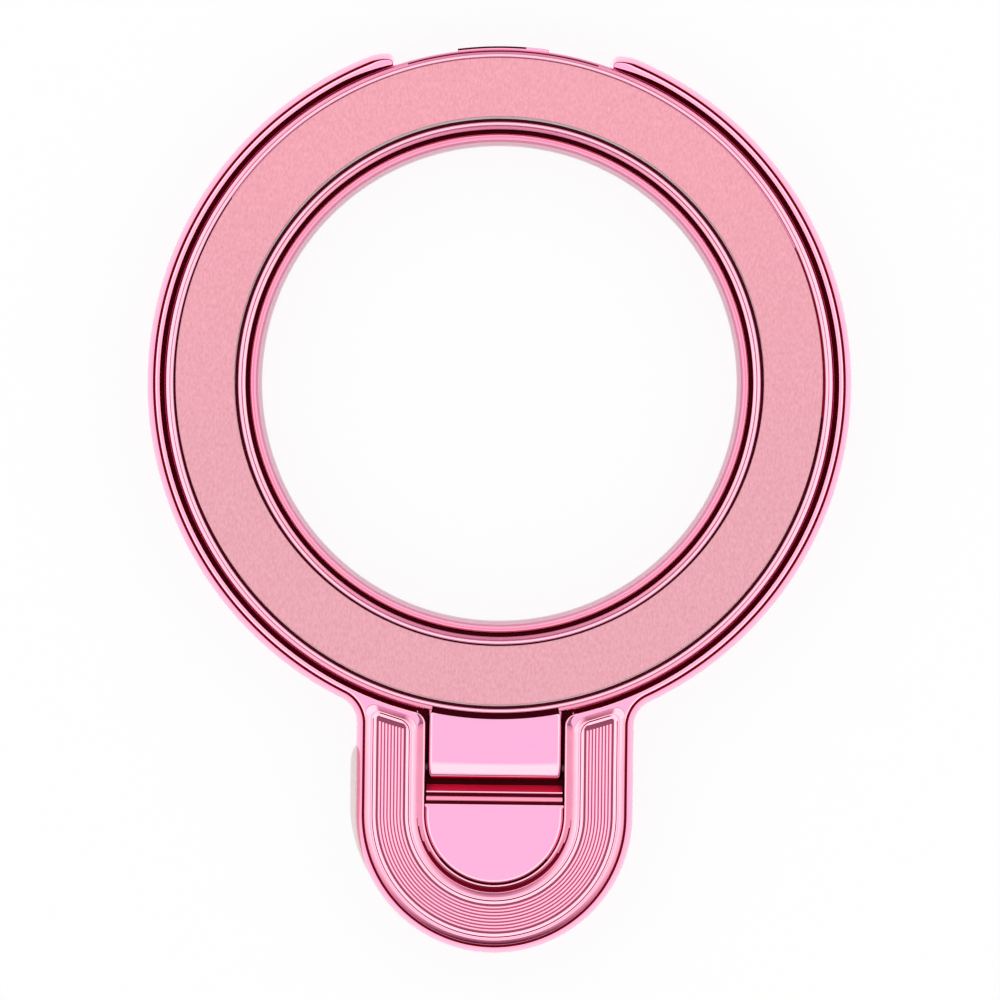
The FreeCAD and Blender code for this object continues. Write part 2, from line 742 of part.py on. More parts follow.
def make_magnet(number):
    """One arc magnet of the ring in the channel under the pad."""
    body = new_body(f"ring_magnet_{number:02d}")
    section = new_sketch(body, f"magnet_section_{number:02d}", "XZ_Plane")
    inner = "channel_inner + magnet_gap"
    outer = "channel_outer - magnet_gap"
    top = "flange_top - magnet_headroom"
    polygon(section, [(inner, "channel_floor"), (outer, "channel_floor"), (outer, top), (inner, top)])
    turn(body, "Revolution", f"magnet_{number:02d}", section, "magnet_angle", Midplane=True)
    body.setExpression("Placement.Rotation.Angle", bind(f"{number} * 360 deg / magnet_count"))
    return body


def main():
    """Builds every piece, checks it and writes it to its own file."""
    pieces = [make_tray(), make_ring(), make_cover(), make_pin(), make_patch()]
    centre = ("-pad_shift_left", "pad_shift_up")
    pad_edges = ("recess_inner + pad_gap", "recess_outer - pad_gap")
    pieces.append(make_annulus("ring_pad", centre, *pad_edges, "flange_top", "pad_thickness"))
    sheet_edges = ("hole_radius + adhesive_inset", "opening_radius - adhesive_inset")
    pieces.append(make_annulus("adhesive_ring", ("0", "0"), *sheet_edges, "0", "adhesive_thickness"))
    pieces += [make_magnet(number) for number in range(1, MAGNET_COUNT + 1)]
    doc.recompute()
    failed = [item.Label for item in doc.Objects if {"Invalid", "Error"} & set(item.State)]
    failed += [item.Label for item in pieces if item.Shape.isNull() or not item.Shape.isValid()]
    if failed:
        raise SystemExit(f"these did not build: {failed}")
    os.makedirs("parts", exist_ok=True)
    for piece in pieces:
        piece.Shape.exportStep(os.path.join("parts", f"{piece.Label}.step"))


main()
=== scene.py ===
"""Looks of a flip-ring phone stand: pink plated mouldings, a woven facing and the adhesive behind them."""

from __future__ import annotations

import json
import logging
import math
from collections.abc import Callable
from dataclasses import dataclass
from enum import Enum

import bmesh
import bpy
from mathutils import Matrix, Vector
from mathutils.geometry import delaunay_2d_cdt

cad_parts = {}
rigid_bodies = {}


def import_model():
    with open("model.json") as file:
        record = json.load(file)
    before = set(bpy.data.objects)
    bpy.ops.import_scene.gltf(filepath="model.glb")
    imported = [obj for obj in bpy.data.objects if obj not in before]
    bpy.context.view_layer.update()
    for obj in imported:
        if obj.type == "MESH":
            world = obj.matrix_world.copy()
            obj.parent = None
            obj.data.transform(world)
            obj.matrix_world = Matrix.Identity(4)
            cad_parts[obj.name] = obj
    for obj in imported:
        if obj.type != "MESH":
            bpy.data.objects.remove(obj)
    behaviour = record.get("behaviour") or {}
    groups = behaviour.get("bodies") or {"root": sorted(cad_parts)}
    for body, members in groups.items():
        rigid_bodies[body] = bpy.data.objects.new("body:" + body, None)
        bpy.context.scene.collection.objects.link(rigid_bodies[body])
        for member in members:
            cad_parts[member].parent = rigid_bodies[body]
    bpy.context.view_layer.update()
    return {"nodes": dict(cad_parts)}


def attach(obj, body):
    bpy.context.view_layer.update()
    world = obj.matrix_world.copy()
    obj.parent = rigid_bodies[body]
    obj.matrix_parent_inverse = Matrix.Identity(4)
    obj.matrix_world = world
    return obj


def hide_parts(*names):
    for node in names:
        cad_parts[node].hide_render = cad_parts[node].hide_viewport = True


log = logging.getLogger("phone_stand")

MM = 0.001
# The ring's centre lies this far above the frame's origin, in millimetres.
RING_Y = 10.35

Pair = tuple[float, float]
Plan = list[Pair]
Colour = tuple[float, float, float]
# Three numbers for each point of a row, or for each corner of a profile with its rounding.
Row = list[tuple[float, float, float]]
# Tells from a face's middle and its normal whether it is painted.
FaceTest = Callable[[Vector, Vector], bool]

# The one output of the Geometry Nodes trees.
SHAPE_OUT = {"Geometry": "Geometry"}
# Handle of a cubic curve that follows a quarter circle, as a share of its radius.
QUARTER_HANDLE = 0.5523
# Rows this far beside a rounding keep its shading off the flats, in millimetres.
SUPPORT = 0.015


class Body(Enum):
    """The two rigid bodies of the stand."""

    BASE = "base"
    RING = "ring"


class Slot(Enum):
    """The record's material slots."""

    PLATED = "plated_plastic"
    FACING = "facing"
    STEEL = "steel"
    MAGNET = "magnet"
    ADHESIVE = "adhesive"


class Tone(Enum):
    """The outputs of the grain group that can mix a finish's two colours."""

    GRAIN = "Mask"
    MOTTLE = "Mottle"


def polar(radius: float, degrees: float, centre: Pair = (0.0, 0.0)) -> Pair:
    """Gives the point at a radius and an angle about a centre.

    Args:
        radius: distance from the centre, in millimetres.
        degrees: angle from +X, counter-clockwise.
        centre: the centre's place in plan.

    Returns:
        The point's place in plan.
    """
    angle = math.radians(degrees)
    return centre[0] + radius * math.cos(angle), centre[1] + radius * math.sin(angle)


def arc_points(centre: Pair, radius: float, start: float, end: float, step: float) -> Plan:
    """Gives points along an arc, both ends included.

    Args:
        centre: the arc's centre in plan.
        radius: the arc's radius, in millimetres.
        start: first angle, in degrees.
        end: last angle, in degrees, smaller than start for a clockwise arc.
        step: largest angle between points, in degrees.

    Returns:
        The points in order.
    """
    count = max(2, math.ceil(abs(end - start) / step))
    return [polar(radius, start + (end - start) * index / count, centre) for index in range(count + 1)]


def line_points(start: Pair, end: Pair, step: float) -> Plan:
    """Gives points inside a straight run, both ends left out.

    Args:
        start: first end in plan.
        end: last end in plan.
        step: largest distance between points, in millimetres.

    Returns:
        The points in order.
    """
    count = max(2, math.ceil(math.dist(start, end) / step))
    shares = [index / count for index in range(1, count)]
    return [(start[0] + (end[0] - start[0]) * t, start[1] + (end[1] - start[1]) * t) for t in shares]


def bezier_points(corners: tuple[Pair, Pair, Pair, Pair], count: int) -> Plan:
    """Gives points inside a cubic curve, both ends left out.

    Args:
        corners: the curve's four control points.
        count: number of spans.

    Returns:
        The points in order.
    """
    points = []
    for index in range(1, count):
        t = index / count
        weights = ((1 - t) ** 3, 3 * t * (1 - t) ** 2, 3 * t**2 * (1 - t), t**3)
        points.append(tuple(sum(w * corner[axis] for w, corner in zip(weights, corners)) for axis in (0, 1)))
    return points


def outward_normals(points: Plan) -> Plan:
    """Gives the unit normals of a closed outline that runs counter-clockwise.

    Args:
        points: the outline's points.

    Returns:
        One normal for each point, pointing out of the outline.
    """
    normals = []
    for index, here in enumerate(points):
        before = points[index - 1]
        after = points[(index + 1) % len(points)]
        back = math.dist(before, here)
        ahead = math.dist(here, after)
        run = [(here[k] - before[k]) / back + (after[k] - here[k]) / ahead for k in (0, 1)]
        size = math.hypot(*run)
        normals.append((run[1] / size, -run[0] / size))
    return normals


def rounded_profile(corners: Row, spans: int = 6) -> Plan:
    """Rounds the corners of a closed straight-sided profile.

    Args:
        corners: x, y and rounding radius of each corner, in millimetres.
        spans: number of spans in each rounding.

    Returns:
        The profile's points, with its first point given again at the end.
    """
    points: Plan = []
    for index, (x, y, radius) in enumerate(corners):
        here = Vector((x, y))
        to_before = (Vector(corners[index - 1][:2]) - here).normalized()
        to_after = (Vector(corners[(index + 1) % len(corners)][:2]) - here).normalized()
        half = to_before.angle(to_after) / 2
        if radius == 0:
            points.append((x, y))
            continue
        tangent = radius / math.tan(half)
        centre = here + (to_before + to_after).normalized() * (radius / math.sin(half))
        first = here + to_before * tangent - centre
        last = here + to_after * tangent - centre
        turn = first.angle_signed(last)
        points.append(tuple(here + to_before * (tangent + SUPPORT)))
        for step in range(spans + 1):
            angle = -turn * step / spans
            across = Vector((-first.y, first.x))
            points.append(tuple(centre + first * math.cos(angle) + across * math.sin(angle)))
        points.append(tuple(here + to_after * (tangent + SUPPORT)))
    return [*points, points[0]]


class Shell:
    """Rows of points, in millimetres about the ring's centre, that are bridged into a mesh."""

    def __init__(self) -> None:
        """Starts an empty shell."""
        self.points: Row = []
        self.faces: list[list[int]] = []
        self.flat: list[int] = []

    @classmethod
    def solid(cls, name: str, rows: list[Row], material: bpy.types.Material) -> bpy.types.Object:
        """Makes a closed object of rows, with flat caps on the first and the last.

        Args:
            name: the object's name.
            rows: the rows, in order.
            material: its material.

        Returns:
            The new object.
        """
        shell = cls()
        shell.close(rows)
        return shell.piece(name, material)

    def close(self, rows: list[Row]) -> None:
        """Stacks rows and caps the first and the last.

        Args:
            rows: the rows, in order.
        """
        made = self.stack(rows)
        self.cap(made[0])
        self.cap(made[-1])

    def stack(self, rows: list[Row]) -> list[list[int]]:
        """Adds closed rows of equal length and joins each to the next with a band of faces.

        Args:
            rows: the rows, in order.

        Returns:
            The numbers of each row's points in the shell.
        """
        made = []
        for points in rows:
            first = len(self.points)
            self.points += points
            made.append(list(range(first, first + len(points))))
        for one, other in zip(made, made[1:]):
            for index in range(len(one)):
                after = (index + 1) % len(one)
                self.faces.append([one[index], one[after], other[after], other[index]])
        return made

    def cap(self, row: list[int]) -> None:
        """Closes a flat row with triangles that are shaded flat.

        Args:
            row: the row to close.
        """
        places = [self.points[index] for index in row]
        columns = list(zip(*places))
        spreads = [max(column) - min(column) for column in columns]
        across = [axis for axis in range(3) if axis != spreads.index(min(spreads))]
        flat = [Vector((place[across[0]], place[across[1]])) for place in places]
        _, _, triangles, origins, _, _ = delaunay_2d_cdt(flat, [], [list(range(len(row)))], 1, 1e-6)
        for triangle in triangles:
            self.flat.append(len(self.faces))
            self.faces.append([row[origins[corner][0]] for corner in triangle])

    def piece(self, name: str, material: bpy.types.Material) -> bpy.types.Object:
        """Makes an object of the shell, in metres in the frame.

        Args:
            name: the object's name.
            material: its material.

        Returns:
            The new object.
        """
        mesh = bpy.data.meshes.new(name)
        places = [(x * MM, (y + RING_Y) * MM, z * MM) for x, y, z in self.points]
        mesh.from_pydata(places, [], self.faces)
        mesh.shade_smooth()
        for index in self.flat:
            mesh.polygons[index].use_smooth = False
        mesh.materials.append(material)
        close_mesh(mesh)
        return add_object(name, mesh)


def add_object(name: str, data: bpy.types.ID) -> bpy.types.Object:
    """Makes an object and links it to the scene.

    Args:
        name: the object's name.
        data: its mesh, curve, light or camera.

    Returns:
        The new object.
    """
    made = bpy.data.objects.new(name, data)
    bpy.context.scene.collection.objects.link(made)
    return made


def close_mesh(mesh: bpy.types.Mesh) -> None:
    """Merges doubles, fills open ends and points the faces outwards.

    Args:
        mesh: the mesh to mend.
    """
    work = bmesh.new()
    work.from_mesh(mesh)
    bmesh.ops.remove_doubles(work, verts=work.verts, dist=1e-7)
    open_edges = [edge for edge in work.edges if edge.is_boundary]
    if open_edges:
        filled = bmesh.ops.holes_fill(work, edges=open_edges, sides=0)
        for face in filled["faces"]:
            face.smooth = False
    bmesh.ops.recalc_face_normals(work, faces=work.faces)
    work.to_mesh(mesh)
    work.free()


def join_pieces(name: str, pieces: list[bpy.types.Object]) -> bpy.types.Object:
    """Joins several objects into one.

    Args:
        name: the joined object's name.
        pieces: the objects to join.

    Returns:
        The joined object.
    """
    with bpy.context.temp_override(active_object=pieces[0], selected_editable_objects=pieces):
        bpy.ops.object.join()
    pieces[0].name = name
    pieces[0].data.name = name
    return pieces[0]


def paint_faces(piece: bpy.types.Object, material: bpy.types.Material, test: FaceTest) -> None:
    """Gives some faces of a piece another material.

    Args:
        piece: the piece to paint.
        material: the other material.
        test: whether a face takes it, from its middle about the ring's centre, in millimetres, and its
            normal.
    """
    piece.data.materials.append(material)
    last = len(piece.data.materials) - 1
    for face in piece.data.polygons:
        middle = face.center / MM - Vector((0.0, RING_Y, 0.0))
        if test(middle, face.normal):
            face.material_index = last


def hand_over(piece: bpy.types.Object, body: Body, node: str) -> None:
    """Sets a finished piece on its body in place of a CAD node.

    Args:
        piece: the finished piece.
        body: the body that it rides on.
        node: the CAD node that it stands for.
    """
    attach(piece, body.value)
    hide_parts(node)
    log.info("%s: %d faces on %s", piece.name, len(piece.data.polygons), body.value)


class Nodes:
    """A node tree with short ways to add and join nodes."""

    def __init__(self, tree: bpy.types.NodeTree) -> None:
        """Takes a tree to work on."""
        self.tree = tree

    def feed(self, node: bpy.types.Node, inputs: dict[str | int, object]) -> None:
        """Joins or sets a node's inputs.

        Args:
            node: the node.
            inputs: for each input's name or number, a socket to join or a value to set.
        """
        for key, content in inputs.items():
            if isinstance(content, bpy.types.NodeSocket):
                self.tree.links.new(content, node.inputs[key])
            else:
                node.inputs[key].default_value = content

    def add(
        self, kind: str, inputs: dict[str | int, object] | None = None, **settings: object
    ) -> bpy.types.Node:
        """Adds a node, sets it and joins its inputs.

        Args:
            kind: the node's type.
            inputs: for each input's name or number, a socket to join or a value to set.
            settings: the node's own properties.

        Returns:
            The new node.
        """
        node = self.tree.nodes.new(kind)
        for key, content in settings.items():
            setattr(node, key, content)
        self.feed(node, inputs or {})
        return node

    def math(self, operation: str, *terms: object) -> bpy.types.NodeSocket:
        """Adds a Math node.

        Args:
            operation: what it does.
            terms: sockets or numbers for its inputs, in order.

        Returns:
            Its output.
        """
        return self.add("ShaderNodeMath", dict(enumerate(terms)), operation=operation).outputs[0]

    def remap(self, value: object, ends: Pair, span: Pair = (0.0, 1.0)) -> bpy.types.NodeSocket:
        """Adds a Map Range node.

        Args:
            value: the socket to map.
            ends: what the span's two ends become.
            span: the value's span.

        Returns:
            Its output.
        """
        inputs = {"Value": value, 1: span[0], 2: span[1], 3: ends[0], 4: ends[1]}
        return self.add("ShaderNodeMapRange", inputs).outputs[0]

    def blend(self, share: object, one: object, other: object, way: str = "MIX") -> bpy.types.NodeSocket:
        """Adds a Mix node for two colours.

        Args:
            share: how much of the other colour shows.
            one: a socket or a colour.
            other: a socket or a colour.
            way: how they are mixed.

        Returns:
            Its output.
        """
        inputs = {"Factor": share}
        for key, colour in ((6, one), (7, other)):
            inputs[key] = (*colour, 1.0) if isinstance(colour, tuple) else colour
        return self.add("ShaderNodeMix", inputs, data_type="RGBA", blend_type=way).outputs[2]


def new_group(
    name: str, kind: str, inputs: dict[str, str], outputs: dict[str, str]
) -> tuple[Nodes, bpy.types.Node, bpy.types.Node]:
    """Makes a node group with named sockets.

    Args:
        name: the group's name.
        kind: the tree's type.
        inputs: socket type of each input, without its prefix.
        outputs: socket type of each output, without its prefix.

    Returns:
        The tree, its input node and its output node.
    """
    tree = bpy.data.node_groups.new(name, kind)
    for way, sockets in (("INPUT", inputs), ("OUTPUT", outputs)):
        for socket, socket_type in sockets.items():
            tree.interface.new_socket(socket, in_out=way, socket_type=f"NodeSocket{socket_type}")
    nodes = Nodes(tree)
    return nodes, nodes.add("NodeGroupInput"), nodes.add("NodeGroupOutput")


def end_tree(nodes: Nodes, shape: bpy.types.Node, given: bpy.types.Node, result: bpy.types.Node) -> None:
    """Ends a Geometry Nodes tree: smooth shading, real instances and the material.

    Args:
        nodes: the tree.
        shape: the node that puts out the shape.
        given: the tree's input node.
        result: the tree's output node.
    """
    smooth = nodes.add("GeometryNodeSetShadeSmooth", {"Geometry": shape.outputs[0]})
    real = nodes.add("GeometryNodeRealizeInstances", {"Geometry": smooth.outputs[0]})
    inputs = {"Geometry": real.outputs[0], "Material": given.outputs["Material"]}
    nodes.feed(result, {0: nodes.add("GeometryNodeSetMaterial", inputs).outputs[0]})


def grow(piece: bpy.types.Object, tree: bpy.types.NodeTree, inputs: dict[str, object]) -> bpy.types.Object:
    """Runs a Geometry Nodes tree on an object and keeps the result as a plain mesh.

    Args:
        piece: the object that carries the tree's input, which is used up.
        tree: the tree to run.
        inputs: value of each named input.

    Returns:
        The new object.
    """
    modifier = piece.modifiers.new(tree.name, "NODES")
    modifier.node_group = tree
    for item in tree.interface.items_tree:
        if item.item_type == "SOCKET" and item.in_out == "INPUT" and item.name in inputs:
            modifier[item.identifier] = inputs[item.name]
    bpy.context.view_layer.update()
    depsgraph = bpy.context.evaluated_depsgraph_get()
    mesh = bpy.data.meshes.new_from_object(piece.evaluated_get(depsgraph), depsgraph=depsgraph)
    name = piece.name
    bpy.data.objects.remove(piece)
    mesh.name = name
    return add_object(name, mesh)


class TurnedProfile:
    """A Geometry Nodes tree that turns a profile about the vertical axis."""

    def __init__(self) -> None:
        """Builds the tree."""
        sizes = {
            "Geometry": "Geometry",
            "Segments": "Int",
            "Start": "Float",
            "Sweep": "Float",
            "Shift": "Vector",
            "Material": "Material",
        }
        nodes, given, result = new_group("turned_profile", "GeometryNodeTree", sizes, SHAPE_OUT)
        profile = given.outputs["Geometry"]
        count = nodes.add("GeometryNodeAttributeDomainSize", {0: profile}, component="MESH")
        rows = nodes.math("ADD", given.outputs["Segments"], 1)
        along = count.outputs["Point Count"]
        grid = nodes.add("GeometryNodeMeshGrid", {"Vertices X": rows, "Vertices Y": along})
        index = nodes.add("GeometryNodeInputIndex").outputs[0]
        place = nodes.add("GeometryNodeInputPosition").outputs[0]
        around = nodes.math("FLOOR", nodes.math("DIVIDE", nodes.math("ADD", index, 0.5), along))
        number = nodes.math("SUBTRACT", index, nodes.math("MULTIPLY", around, along))
        inputs = {"Geometry": profile, "Index": number}
        sample = nodes.add("GeometryNodeSampleIndex", inputs, data_type="FLOAT_VECTOR", domain="POINT")
        nodes.tree.links.new(place, next(s for s in sample.inputs if s.name == "Value" and s.enabled))
        point = nodes.add("ShaderNodeSeparateXYZ", {0: next(s for s in sample.outputs if s.enabled)})
        share = nodes.math("DIVIDE", around, given.outputs["Segments"])
        angle = nodes.math("MULTIPLY_ADD", share, given.outputs["Sweep"], given.outputs["Start"])
        turns = [nodes.math(way, angle) for way in ("COSINE", "SINE")]
        flat = [nodes.math("MULTIPLY", point.outputs[0], turn) for turn in turns]
        turned = nodes.add("ShaderNodeCombineXYZ", dict(enumerate((*flat, point.outputs[2]))))
        ends = {0: turned.outputs[0], 1: given.outputs["Shift"]}
        moved = nodes.add("ShaderNodeVectorMath", ends, operation="ADD").outputs[0]
        placed = nodes.add("GeometryNodeSetPosition", {"Geometry": grid.outputs[0], "Position": moved})
        merged = nodes.add("GeometryNodeMergeByDistance", {"Geometry": placed.outputs[0], "Distance": 1e-7})
        end_tree(nodes, merged, given, result)
        self.tree = nodes.tree

    def turn(
        self,
        name: str,
        profile: Plan,
        material: bpy.types.Material,
        segments: int = 540,
        span: Pair = (0.0, 360.0),
        shift: Pair = (0.0, 0.0),
    ) -> bpy.types.Object:
        """Turns a closed profile.

        Args:
            name: the piece's name.
            profile: radius and height of each point, in millimetres, with the first point again at the end.
            material: the piece's material.
            segments: number of spans round the axis.
            span: first and last angle, in degrees.
            shift: the axis's place from the ring's centre, in millimetres.

        Returns:
            The turned piece.
        """
        mesh = bpy.data.meshes.new(name)
        mesh.from_pydata([(r * MM, 0.0, z * MM) for r, z in profile], [], [])
        inputs = {
            "Segments": segments,
            "Start": math.radians(span[0]),
            "Sweep": math.radians(span[1] - span[0]),
            "Shift": (shift[0] * MM, (shift[1] + RING_Y) * MM, 0.0),
            "Material": material,
        }
        piece = grow(add_object(name, mesh), self.tree, inputs)
        close_mesh(piece.data)
        return piece


class SweptRibs:
    """A Geometry Nodes tree that runs a low rounded rib along each spline."""

    def __init__(self) -> None:
        """Builds the tree."""
        sizes = {
            "Geometry": "Geometry",
            "Width": "Float",
            "Height": "Float",
            "Sides": "Int",
            "Material": "Material",
        }
        nodes, given, result = new_group("swept_ribs", "GeometryNodeTree", sizes, SHAPE_OUT)
        sides = {"Resolution": given.outputs["Sides"], "Radius": 1.0}
        ring = nodes.add("GeometryNodeCurvePrimitiveCircle", sides)
        half = nodes.math("MULTIPLY", given.outputs["Width"], 0.5)
        scale = nodes.add("ShaderNodeCombineXYZ", {0: half, 1: given.outputs["Height"], 2: 1.0}).outputs[0]
        section = nodes.add("GeometryNodeTransform", {"Geometry": ring.outputs[0], "Scale": scale}).outputs[0]
        upright = nodes.add("GeometryNodeSetCurveNormal", {0: given.outputs["Geometry"]}, mode="Z_UP")
        path = {"Curve": upright.outputs[0], "Profile Curve": section, "Fill Caps": True}
        end_tree(nodes, nodes.add("GeometryNodeCurveToMesh", path), given, result)
        self.tree = nodes.tree


def mould_grain() -> bpy.types.NodeTree:
    """Makes the group that gives plated and bare surfaces their slow waviness and fine grain.

    Returns:
        A shader group with a height, a mask and a slow mottle.
    """
    inputs = {"Vector": "Vector", "Grain": "Float", "Wave": "Float"}
    outputs = {"Height": "Float", "Mask": "Float", "Mottle": "Float"}
    nodes, given, result = new_group("mould_grain", "ShaderNodeTree", inputs, outputs)
    place = given.outputs["Vector"]
    fine, slow = (
        nodes.add("ShaderNodeTexNoise", {"Vector": place, "Scale": given.outputs[size], "Detail": detail})
        for size, detail in (("Grain", 3.0), ("Wave", 1.0))
    )
    height = nodes.math("MULTIPLY_ADD", fine.outputs[0], 0.15, slow.outputs[0])
    nodes.feed(result, {"Height": height, "Mask": fine.outputs[0], "Mottle": slow.outputs[0]})
    return nodes.tree


def fine_weave() -> bpy.types.NodeTree:
    """Makes the group that gives the facing its weave.

    Returns:
        A shader group with the weave's height and a mask of the raised threads.
    """
    inputs = {"Vector": "Vector", "Threads": "Float"}
    outputs = {"Height": "Float", "Thread": "Float"}
    nodes, given, result = new_group("fine_weave", "ShaderNodeTree", inputs, outputs)
    place, threads = given.outputs["Vector"], given.outputs["Threads"]
    long = nodes.add("ShaderNodeVectorMath", {0: place, 1: (1.0, 0.45, 1.0)}, operation="MULTIPLY").outputs[0]
    streak = nodes.add("ShaderNodeTexNoise", {"Vector": long, "Scale": threads, "Detail": 2.0})
    wide = nodes.math("MULTIPLY", threads, 1.7)
    knot = nodes.add("ShaderNodeTexVoronoi", {"Vector": place, "Scale": wide})
    cross = nodes.math("MULTIPLY_ADD", knot.outputs[0], -0.25, streak.outputs[0])
    nodes.feed(result, {"Height": cross, "Thread": nodes.remap(cross, (0.0, 1.0), (0.1, 0.62))})
    return nodes.tree


@dataclass(frozen=True)
class Groups:
    """The shader groups that the finishes share."""

    grain: bpy.types.NodeTree
    weave: bpy.types.NodeTree


def start_material(name: str) -> tuple[Nodes, bpy.types.Node, bpy.types.NodeSocket, bpy.types.Material]:
    """Starts a node material.

    Args:
        name: the material's name.

    Returns:
        Its tree, its Principled shader, the object coordinates and the material.
    """
    material = bpy.data.materials.new(name)
    material.use_nodes = True
    nodes = Nodes(material.node_tree)
    shader = material.node_tree.nodes["Principled BSDF"]
    place = nodes.add("ShaderNodeTexCoord").outputs["Object"]
    return nodes, shader, place, material


@dataclass(frozen=True)
class BareFinish:
    """A plain surface with grain in its colour, sheen and relief, such as steel, magnets and foam."""

    name: str
    light: Colour
    dark: Colour
    rough: Pair
    metallic: float = 0.0
    relief: float = 0.1
    depth: float = 0.0001
    specular: float = 0.5
    edge_tint: Colour = (1.0, 1.0, 1.0)
    grain_scale: float = 2400.0
    wave_scale: float = 500.0
    tone: Tone = Tone.GRAIN

    def material(self, groups: Groups) -> bpy.types.Material:
        """Makes the material.

        Args:
            groups: the shared shader groups.

        Returns:
            The material.
        """
        nodes, shader, place, material = start_material(self.name)
        sizes = {"Vector": place, "Grain": self.grain_scale, "Wave": self.wave_scale}
        grain = nodes.add("ShaderNodeGroup", sizes, node_tree=groups.grain).outputs
        relief = {"Height": grain["Height"], "Strength": self.relief, "Distance": self.depth}
        surface = {
            "Base Color": nodes.blend(grain[self.tone.value], self.light, self.dark),
            "Roughness": nodes.remap(grain["Mask"], self.rough),
            "Normal": nodes.add("ShaderNodeBump", relief).outputs[0],
            "Metallic": self.metallic,
            "Specular IOR Level": self.specular,
            "Specular Tint": (*self.edge_tint, 1.0),
        }
        nodes.feed(shader, surface)
        return material


@dataclass(frozen=True)
class PlatedFinish(BareFinish):
    """Mirror-bright pink metal plating on moulded plastic."""

    light: Colour = (0.985, 0.475, 0.735)
    dark: Colour = (0.975, 0.445, 0.715)
    rough: Pair = (0.03, 0.07)
    metallic: float = 1.0
    relief: float = 0.02
    depth: float = 0.0005
    edge_tint: Colour = (0.98, 0.52, 0.60)
    grain_scale: float = 5200.0
    wave_scale: float = 260.0
    tone: Tone = Tone.MOTTLE


@dataclass(frozen=True)
class FacingFinish:
    """Matt salmon facing with a fine weave; painted light makes it paler towards its top."""

    name: str
    thread: Colour = (1.0, 0.485, 0.565)
    gap: Colour = (0.78, 0.33, 0.39)
    low_painted_light: Colour = (0.925, 0.94, 0.945)
    top_painted_light: Colour = (1.0, 0.925, 0.95)
    painted_light_span: Pair = (0.0, 0.030)
    threads_per_metre: float = 5600.0
    fleck_scale: float = 3600.0
    fleck: float = 0.3
    relief: float = 0.2

    def material(self, groups: Groups) -> bpy.types.Material:
        """Makes the material.

        Args:
            groups: the shared shader groups.

        Returns:
            The material.
        """
        nodes, shader, place, material = start_material(self.name)
        threads = {"Vector": place, "Threads": self.threads_per_metre}
        weave = nodes.add("ShaderNodeGroup", threads, node_tree=groups.weave).outputs
        flecks = {"Vector": place, "Grain": self.fleck_scale, "Wave": 60.0}
        grain = nodes.add("ShaderNodeGroup", flecks, node_tree=groups.grain).outputs
        fine = nodes.math("MULTIPLY", grain["Mask"], self.fleck)
        share = nodes.math("MULTIPLY_ADD", weave["Thread"], 1 - self.fleck, fine)
        cloth = nodes.blend(share, self.gap, self.thread)
        # Painted light: the facing's tone changes from its lower side to its top.
        along = nodes.add("ShaderNodeSeparateXYZ", {0: place}).outputs[1]
        tone = nodes.blend(nodes.remap(along, (0.0, 1.0), self.painted_light_span), self.low_painted_light, self.top_painted_light)
        relief = {"Height": weave["Height"], "Strength": self.relief, "Distance": 0.00006}
        surface = {
            "Base Color": nodes.blend(1.0, cloth, tone, "MULTIPLY"),
            "Roughness": nodes.remap(weave["Thread"], (0.95, 0.75)),
            "Normal": nodes.add("ShaderNodeBump", relief).outputs[0],
            "Specular IOR Level": 0.25,
        }
        nodes.feed(shader, surface)
        return material


